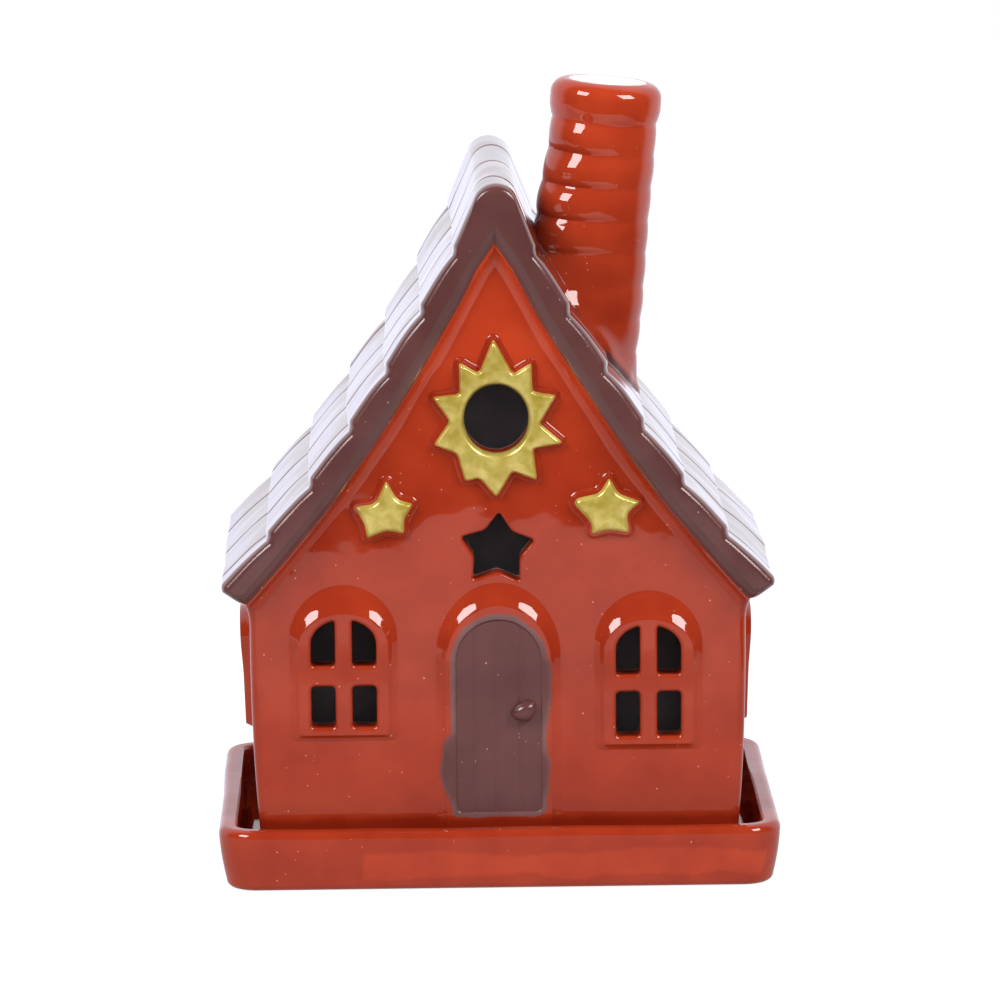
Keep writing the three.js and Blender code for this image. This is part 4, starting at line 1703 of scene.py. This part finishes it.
    def build(self, material: Material) -> None:
        """Spins the chimney, leans it, spreads its foot on the roof and glazes it.

        Args:
            material: its glaze.
        """
        across = Vector((math.cos(self.lean), 0, -math.sin(self.lean)))
        places = [self.mouth + across * r - self.axis * below for r, below in self.profile()]
        mould = Mould().turn(places, self.mouth, self.axis, 96)
        for vert in mould.bm.verts:
            vert.co = self.shape(vert.co)
        sine, cosine = math.sin(self.line.pitch), math.cos(self.line.pitch)
        ends = mould.cut(Vector((0, 0, self.line.ridge - self.sunk / cosine)), Vector((-sine, 0, -cosine)))
        bmesh.ops.bridge_loops(mould.bm, edges=ends)
        settle(mould.cast("chimney_glazed"), material, Slot.RED, "chimney")


@dataclass(frozen=True)
class Roof:
    """The roof: hollow slopes of overlapping shingle rows, a round ridge and thick verges."""

    line: RoofLine
    depth: float = 77.0
    rows: int = 7
    step: float = 1.3
    crown: float = 3.0
    nose: float = 0.8
    edge_steps: int = 9
    roll: float = 4.5
    rise: float = 0.6
    eave_round: float = 1.7
    eave_draw: float = 0.9
    eave_lift: float = 1.4
    eave_step: float = 0.05
    eave_under: float = 0.7
    verge_relief: float = 0.72
    verge_fade: float = 7.0
    wave: float = 2.6
    wave_inside: float = 0.25
    shingle: float = 23.5
    first_groove: float = -26.5
    groove_depth: float = 0.26
    groove_half: float = 0.5
    groove_step: float = 0.22
    groove_steps: int = 9
    verge_round: Point = (1.8, 2.4)
    chamfer: Point = (2.7, 2.6)
    chamfer_power: float = 1.4
    stray: Point = (0.45, 31.0)
    fine_stray: Point = (0.16, 8.0)
    shifts: tuple[float, ...] = (0.0, 0.7, -0.5, 0.4, 0.8, -0.6, -0.9)
    back_shares: tuple[float, ...] = (0.0, 0.03, 0.07, 0.12, 0.18, 0.25, 0.33, 0.42, 0.52, 0.6, 0.66)
    flank_shares: tuple[float, ...] = (0.15, 0.3, 0.45, 0.6, 0.75, 0.9)
    verge_places: tuple[float, ...] = (0.0, 0.03, 0.1, 0.22, 0.4, 0.65, 0.95, 1.3, 1.65, 2.0, 2.4, 3.2, 5.0)
    field_shares: tuple[float, ...] = (-0.3, -0.24, -0.17)
    crease: float = 50.0

    @property
    def row_length(self) -> float:
        """Length of a row below the ridge row."""
        return (self.line.slope - self.line.ridge_row) / (self.rows - 1)

    def grooves(self, row: int) -> list[float]:
        """Places of the grooves between the shingles of a row, half a shingle further along in every other row."""
        first = self.first_groove + row % 2 * self.shingle / 2
        return [first + self.shingle * i for i in range(3)]

    def groove(self, row: int, y: float) -> float:
        """Depth of the grooves between a row's shingles at a place."""
        return max(self.groove_depth * math.exp(-(((y - g) / self.groove_half) ** 2)) for g in self.grooves(row))

    def lower_edge(self, end: float, relief: float, wave: float) -> list[Point]:
        """The lower edge of a row in section, round inside and drawn out to a soft wave at the verges.

        Args:
            end: distance of the row's end from the place it is measured from.
            relief: how much of its height the row keeps.
            wave: 0 for a round edge to 1 for a wave.

        Returns:
            Distance and height of its points.
        """
        nose = self.nose * relief
        rounded = sweep((end - nose, -nose), nose, 90, 0, self.edge_steps)
        drop = self.step * relief / 2
        shares = [i / self.edge_steps for i in range(self.edge_steps + 1)]
        waved = [(end - self.wave * (1 - s), drop * (math.cos(math.pi * s) - 1)) for s in shares]
        return blend(rounded, waved, wave)

    def row(self, last: bool, relief: float, wave: float) -> list[Point]:
        """One row in section.

        Args:
            last: whether it ends at the eave.
            relief: how much of its height the row keeps.
            wave: how far its lower edge is drawn out to a wave.

        Returns:
            Distance from its head and height of its points.
        """
        length, eave = self.row_length, self.eave_round
        back = [(length * s, -self.step * relief * (1 - s) ** self.crown) for s in self.back_shares]
        if last:
            return back + sweep((length - eave, -eave), eave, 90, 0, 7)
        return back + self.lower_edge(length, relief, wave)

    def ridge(self, inset: float, relief: float, wave: float) -> list[Point]:
        """The right half of the ridge row in section, round on top and straight below.

        Args:
            inset: how far it is drawn in.
            relief: how much of its height the row keeps.
            wave: how far its lower edge is drawn out to a wave.

        Returns:
            The X and Z of its points, from the top down to its lower edge.
        """
        edge = self.lower_edge(self.line.ridge_row, relief, wave)
        centre = Vector((0, self.line.ridge + self.rise - inset - self.roll))
        foot = Vector(self.line.point(edge[0][0], -inset))
        away = foot - centre
        turn = math.atan2(away.x, away.y) - math.acos(self.roll / away.length)
        roll = [(x, z) for z, x in sweep((centre.y, 0), self.roll, 0, math.degrees(turn), 12)]
        flank = [tuple(Vector(roll[-1]).lerp(foot, share)) for share in self.flank_shares]
        return roll + flank + [self.line.point(down, out - inset) for down, out in edge]

    def skin(self, insets: Sequence[float], lift: float, relief: float, wave: float) -> list[Point]:
        """The right half of the roof's skin.

        Args:
            insets: how far each row is drawn in.
            lift: how far the underside is raised.
            relief: how much of their height the rows keep.
            wave: how far their lower edges are drawn out to waves.

        Returns:
            The X and Z of its points, from the ridge down.
        """
        slope = []
        for row in range(1, self.rows):
            head = self.line.ridge_row + (row - 1) * self.row_length
            section = self.row(row == self.rows - 1, relief, wave)
            slope += [(head + along, out - insets[row]) for along, out in section]
        end = self.line.slope - self.eave_draw * insets[-1]
        slope.append((end, min(lift + self.eave_lift - self.line.thickness, slope[-1][1] - self.eave_step)))
        return self.ridge(insets[0], relief, wave) + [self.line.point(min(d, end), out) for d, out in slope]

    def section(self, y: float) -> list[Vector]:
        """The closed outline of the roof at one place between its verges.

        Args:
            y: the place.

        Returns:
            The outline, with grooves drawn in and the verge rounded.
        """
        edge = self.depth / 2 - abs(y)
        inset = self.verge_round[0] * (1 - math.sqrt(1 - max(1 - edge / self.verge_round[1], 0) ** 2))
        insets = [inset + self.groove(row, y - shift) for row, shift in enumerate(self.shifts)]
        lift = self.chamfer[0] * max(1 - edge / self.chamfer[1], 0) ** self.chamfer_power
        inside = min(edge / self.verge_fade, 1)
        relief = self.verge_relief + (1 - self.verge_relief) * inside
        wave = 1 + (self.wave_inside - 1) * inside
        under = self.line.underside(self.line.slope - self.eave_under - self.eave_draw * insets[-1], lift)[::-1]
        right = [Vector((x, y, z)) for x, z in self.skin(insets, lift, relief, wave) + under]
        return right + [Vector((-p.x, p.y, p.z)) for p in reversed(right) if p.x > WELD]

    def stations(self) -> list[float]:
        """Places of the outlines from the front verge to the back one, close together at verges and grooves.

        Returns:
            The places, in order.
        """
        verge = [self.depth / 2 - e for e in self.verge_places]
        grooves = [*self.grooves(0), *self.grooves(1)]
        close = [g + self.groove_step * k for g in grooves for k in range(-self.groove_steps, self.groove_steps + 1)]
        field = [g + self.shingle * share for g in grooves for share in self.field_shares]
        return sorted([*verge, *(-v for v in verge), *close, *field])

    def build(self, material: Material, flue: Piece) -> None:
        """Makes the roof, opens it under the chimney and glazes it.

        Args:
            material: its glaze.
            flue: the cutter that opens it.
        """
        roof = Mould().loft([self.section(y) for y in self.stations()]).cast("roof_glazed")
        carve(roof, [flue])
        for vert in roof.data.vertices:
            vert.co = hand(hand(vert.co / MM, *self.fine_stray), *self.stray) * MM
        settle(roof, material, Slot.BROWN, "roof_shell", crease=self.crease)


class House:
    """The whole house that lifts off the tray."""

    HALF_WIDTH = 47.0
    FLARE = 1.6
    STRAIGHT = 47.8
    MOUTH = Vector((23.3, 0, 154.81))
    GOLD_STARS = (21.9, 74.4)

    def __init__(self) -> None:
        """Sets out the pieces that others depend on."""
        self.line = RoofLine()
        self.chimney = Chimney(self.line, self.MOUTH)
        self.windows = (
            self.front_window(Side.LEFT, 30.4, sill=31.4, lower=8.3, transom=4.1, upper=9.4),
            self.front_window(Side.RIGHT, 29.5, sill=28.9, lower=9.0, transom=3.5, upper=10.0),
            self.side_window(Side.LEFT),
            self.side_window(Side.RIGHT),
        )

    def front_window(self, side: Side, away: float, **heights: float) -> Window:
        """A window beside the door.

        Args:
            side: the side of the door.
            away: distance of its middle from the middle of the door.
            heights: height of its sill, and heights of its lower panes, its transom and its upper panes.

        Returns:
            The window.
        """
        front = Matrix.Translation((0, FRONT, 0))
        sizes = {"head": 4.9, "hood": 6.2, "lip": 1.2, "pane": 4.7, "mullion": 3.4, "border": 4.45}
        return Window("front", side, front, side.value * away, **heights, **sizes)

    def side_window(self, side: Side) -> Window:
        """A window in a side wall, drawn upright and carried onto the leaning wall.

        Args:
            side: the side.

        Returns:
            The window.
        """
        place = Matrix.Translation((side.value * self.HALF_WIDTH, 0, BASE))
        lean = Matrix.Rotation(side.value * math.atan2(self.FLARE, self.STRAIGHT), 4, "Y")
        matrix = place @ lean @ Matrix.Rotation(side.value * math.pi / 2, 4, "Z")
        heights = {"sill": 26.7, "lower": 6.4, "upper": 8.0, "head": 4.0, "hood": 3.0, "lip": 1.0}
        return Window("side", side, matrix, 0.0, **heights, sill_border=4.8, proud=2.8, low=0.9)

    def ornaments(self) -> list[Ornament]:
        """The gold sun and the two gold stars.

        Returns:
            The ornaments.
        """
        ornaments = [Ornament("sun_gilded", "sun_ring", (0.0, SUN_HEIGHT), SUN_OUTLINE, hole=(6.3, 6.8), trim=0.7)]
        away, height = self.GOLD_STARS
        for side, outline in ((Side.LEFT, LEFT_STAR), (Side.RIGHT, RIGHT_STAR)):
            word, centre = side.name.lower(), (side.value * away, height)
            star = Ornament(f"star_{word}_gilded", f"gold_star_{word}", centre, outline, bevel=1.3, dome=0.5)
            ornaments.append(star)
        return ornaments

    def build(self) -> None:
        """Makes every piece of the house."""
        inside = Layer(Box(0.4, -0.4, x=(-42.5, 42.5), y=(-29.5, 29.5)), SOOT)
        # painted light: the walls' red is drawn lighter from 78 mm up, over the gables
        # painted shade: the walls' foot is drawn darker red, as if shaded by the tray's rim
        walls = red_glaze("red_glaze_walls", Layer(Mask(78, 112), LIT_RED), FOOT_SHADE, inside)
        Walls(self.line, self.windows).build(walls)
        red = red_glaze("red_glaze_windows")
        for window in self.windows:
            window.build(red)
        Door().build()
        gold = Lustre("gold_lustre", GOLD, 0.00005, coat=0.8, metallic=0.42).material()
        for ornament in self.ornaments():
            ornament.build(gold, red)
        gables = Box(0.0, -1.0, y=(-31.0, 31.0))
        under = (Layer(OverSlope(-6.3, -6.7, within=gables, line=self.line, nearer=True), SOOT),)
        brown = Glaze("brown_glaze_roof", ROOF_BROWN, BROWN_SPECK, 0.00016, 0.00002, under, coat=1.0, dry_ends=0.2)
        Roof(self.line).build(brown.material(), self.chimney.flue_cutter())
        foot = Layer(OverSlope(-1.95, -2.45, 2.0, 190.0, line=self.line), BRUSHED_BROWN)
        flue = Layer(FromAxis(7.9, 7.6, point=self.MOUTH, axis=self.chimney.axis), BARE_CLAY)
        # painted light: the chimney's red is drawn lighter towards its top
        self.chimney.build(red_glaze("red_glaze_chimney", Layer(Mask(80, 200), LIT_RED), foot, flue))


@dataclass(frozen=True)
class Studio:
    """The camera, two softboxes, a white table top and a pale room. Sizes here are metres."""

    target: Vector
    distance: float = 1.3
    elevation: float = math.radians(10.3)
    azimuth: float = math.radians(-1.0)
    roll: float = math.radians(0.5)
    focal: float = 6.47
    sensor: float = 36.0
    clip: Point = (0.05, 50.0)
    softbox_azimuth: float = math.radians(50)
    softbox_elevation: float = math.radians(38)
    softbox_distance: float = 1.4
    softbox_size: float = 0.58
    softbox_radiance: float = 15.0
    softbox_share: float = 0.75
    fill_aim: tuple[float, float, float] = (0.0, -0.97, 0.24)
    fill_distance: float = 1.6
    fill_size: float = 0.5
    fill_energy: float = 4.4
    table_front: float = -0.42
    table_reach: float = 6.0
    table_sides: Point = (-2.5, 0.24)
    table_drop: float = 0.0002
    paper_white: float = 0.8
    paper_pale: float = 0.2
    paper_glow: float = 0.9
    mirror_near: Point = (-0.26, -0.12)
    mirror_far: Point = (-0.05, 0.1)
    room_turn: Point = (0.0, 0.4)
    room_front: float = 0.22
    room_dark: float = 0.05

    @staticmethod
    def towards(azimuth: float, elevation: float) -> Vector:
        """The direction to a place in front of the house, to its right by an azimuth and up by an elevation."""
        level = math.cos(elevation)
        return Vector((math.sin(azimuth) * level, -math.cos(azimuth) * level, math.sin(elevation)))

    def camera(self) -> None:
        """Places the camera where the photograph was taken from."""
        back = self.towards(self.azimuth, self.elevation)
        right = Vector((0, 0, 1)).cross(back).normalized()
        up = back.cross(right)
        turned = right * math.cos(self.roll) - up * math.sin(self.roll)
        upright = right * math.sin(self.roll) + up * math.cos(self.roll)
        lens = bpy.data.cameras.new("camera")
        lens.sensor_width = self.sensor
        lens.lens = self.sensor * self.focal
        lens.clip_start, lens.clip_end = self.clip
        camera = link(bpy.data.objects.new("camera", lens))
        pose = Matrix((turned, upright, back)).transposed().to_4x4()
        pose.translation = self.target + back * self.distance
        camera.matrix_world = pose
        bpy.context.scene.camera = camera

    def lamp(self, name: str, aim: Vector, distance: float, size: float, energy: float) -> Piece:
        """Hangs a square lamp that the camera doesn't see.

        Args:
            name: its name.
            aim: direction from the burner to it.
            distance: its distance from the burner.
            size: length of its sides.
            energy: its power.

        Returns:
            The lamp.
        """
        light = bpy.data.lights.new(name, "AREA")
        light.shape = "SQUARE"
        light.size = size
        light.energy = energy
        lamp = link(bpy.data.objects.new(name, light))
        lamp.matrix_world = aim.to_track_quat("Z", "Y").to_matrix().to_4x4()
        lamp.location = self.target + aim * distance
        lamp.visible_camera = False
        return lamp

    def lights(self) -> None:
        """Hangs a softbox at each side of the camera, and a fill beside it that leaves no mirror image."""
        energy = self.softbox_radiance * math.pi * self.softbox_size**2
        for side in Side:
            name = f"softbox_{side.name.lower()}"
            aim = self.towards(side.value * self.softbox_azimuth, self.softbox_elevation)
            softbox = self.lamp(name, aim, self.softbox_distance, self.softbox_size, energy)
            softbox.data.diffuse_factor = self.softbox_share
        aim = Vector(self.fill_aim).normalized()
        fill = self.lamp("fill", aim, self.fill_distance, self.fill_size, self.fill_energy)
        fill.visible_glossy = False

    def table(self) -> None:
        """Lays the white table top, which ends in front of the burner and to its right."""
        table = Mould()
        bmesh.ops.create_grid(table.bm, x_segments=1, y_segments=1, size=0.5)
        left, right = self.table_sides
        near, far = self.table_front, self.table_reach
        middle = Matrix.Translation(((left + right) / 2, (near + far) / 2, -self.table_drop))
        sheet = table.place(middle @ Matrix.Diagonal((right - left, far - near, 1, 1))).free("table")
        sheet.data.materials.append(self.paper())

    def paper(self) -> Material:
        """The table's white paper.

        Returns:
            Its material: white to the camera but for the shadow, and a little greyer in mirrors close by, a painted
                shade.
        """
        material = bpy.data.materials.new("table")
        shade = Shade.fresh(material)
        _, y, _ = shade.axes(shade.place())
        path = shade.add("ShaderNodeLightPath")
        paper = shade.add("ShaderNodeBsdfDiffuse", {"Color": grey(self.paper_white)}).outputs[0]
        pale = shade.add("ShaderNodeBsdfDiffuse", {"Color": grey(self.paper_pale)}).outputs[0]
        glow = shade.add("ShaderNodeEmission", {"Color": grey(self.paper_glow), "Strength": 1.0}).outputs[0]
        lit = shade.add("ShaderNodeAddShader", {0: pale, 1: glow}).outputs[0]
        # painted shade: in mirrors, the paper close to the burner is drawn greyer
        tone = shade.mix(shade.ease(y, *self.mirror_near), WARM_PAPER, SHADED_MIRROR_PAPER)
        tone = shade.mix(shade.ease(y, *self.mirror_far), tone, COOL_PAPER)
        mirrored = shade.add("ShaderNodeEmission", {"Color": tone, "Strength": 1.0}).outputs[0]
        glossy = path.outputs["Is Glossy Ray"]
        mixed = shade.add("ShaderNodeMixShader", {0: glossy, 1: paper, 2: mirrored}).outputs[0]
        mixed = shade.add("ShaderNodeMixShader", {0: shade.seen(path), 1: mixed, 2: lit}).outputs[0]
        shade.add("ShaderNodeOutputMaterial", {"Surface": mixed})
        return material

    def room(self) -> None:
        """Surrounds the table with a room that is pale behind it and dark in front."""
        world = bpy.data.worlds.new("room")
        shade = Shade.fresh(world)
        _, y, _ = shade.axes(shade.add("ShaderNodeTexCoord").outputs["Generated"])
        behind = shade.ease(y, *self.room_turn)
        path = shade.add("ShaderNodeLightPath")
        soft = shade.mix(behind, grey(self.room_front), PALE_ROOM)
        mirrored = shade.mix(behind, grey(self.room_dark), MIRRORED_ROOM)
        colour = shade.mix(path.outputs["Is Glossy Ray"], soft, mirrored)
        colour = shade.mix(shade.seen(path), colour, grey(1.0))
        light = shade.add("ShaderNodeBackground", {"Color": colour, "Strength": 1.0})
        shade.add("ShaderNodeOutputWorld", {"Surface": light.outputs[0]})
        bpy.context.scene.world = world

    def build(self) -> None:
        """Sets up the picture."""
        bpy.context.scene.view_settings.view_transform = "Standard"
        self.camera()
        self.lights()
        self.table()
        self.room()


def main() -> None:
    """Builds the studio and the burner's pieces in order."""
    logging.basicConfig(level=logging.INFO, format="%(name)s: %(message)s")
    noise.seed_set(SEED)
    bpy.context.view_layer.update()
    Studio(target=Vector((0.0012, 0.0, 0.0703))).build()
    Tray().build()
    ConeDish().build()
    House().build()


if __name__ == "__main__":
    main()
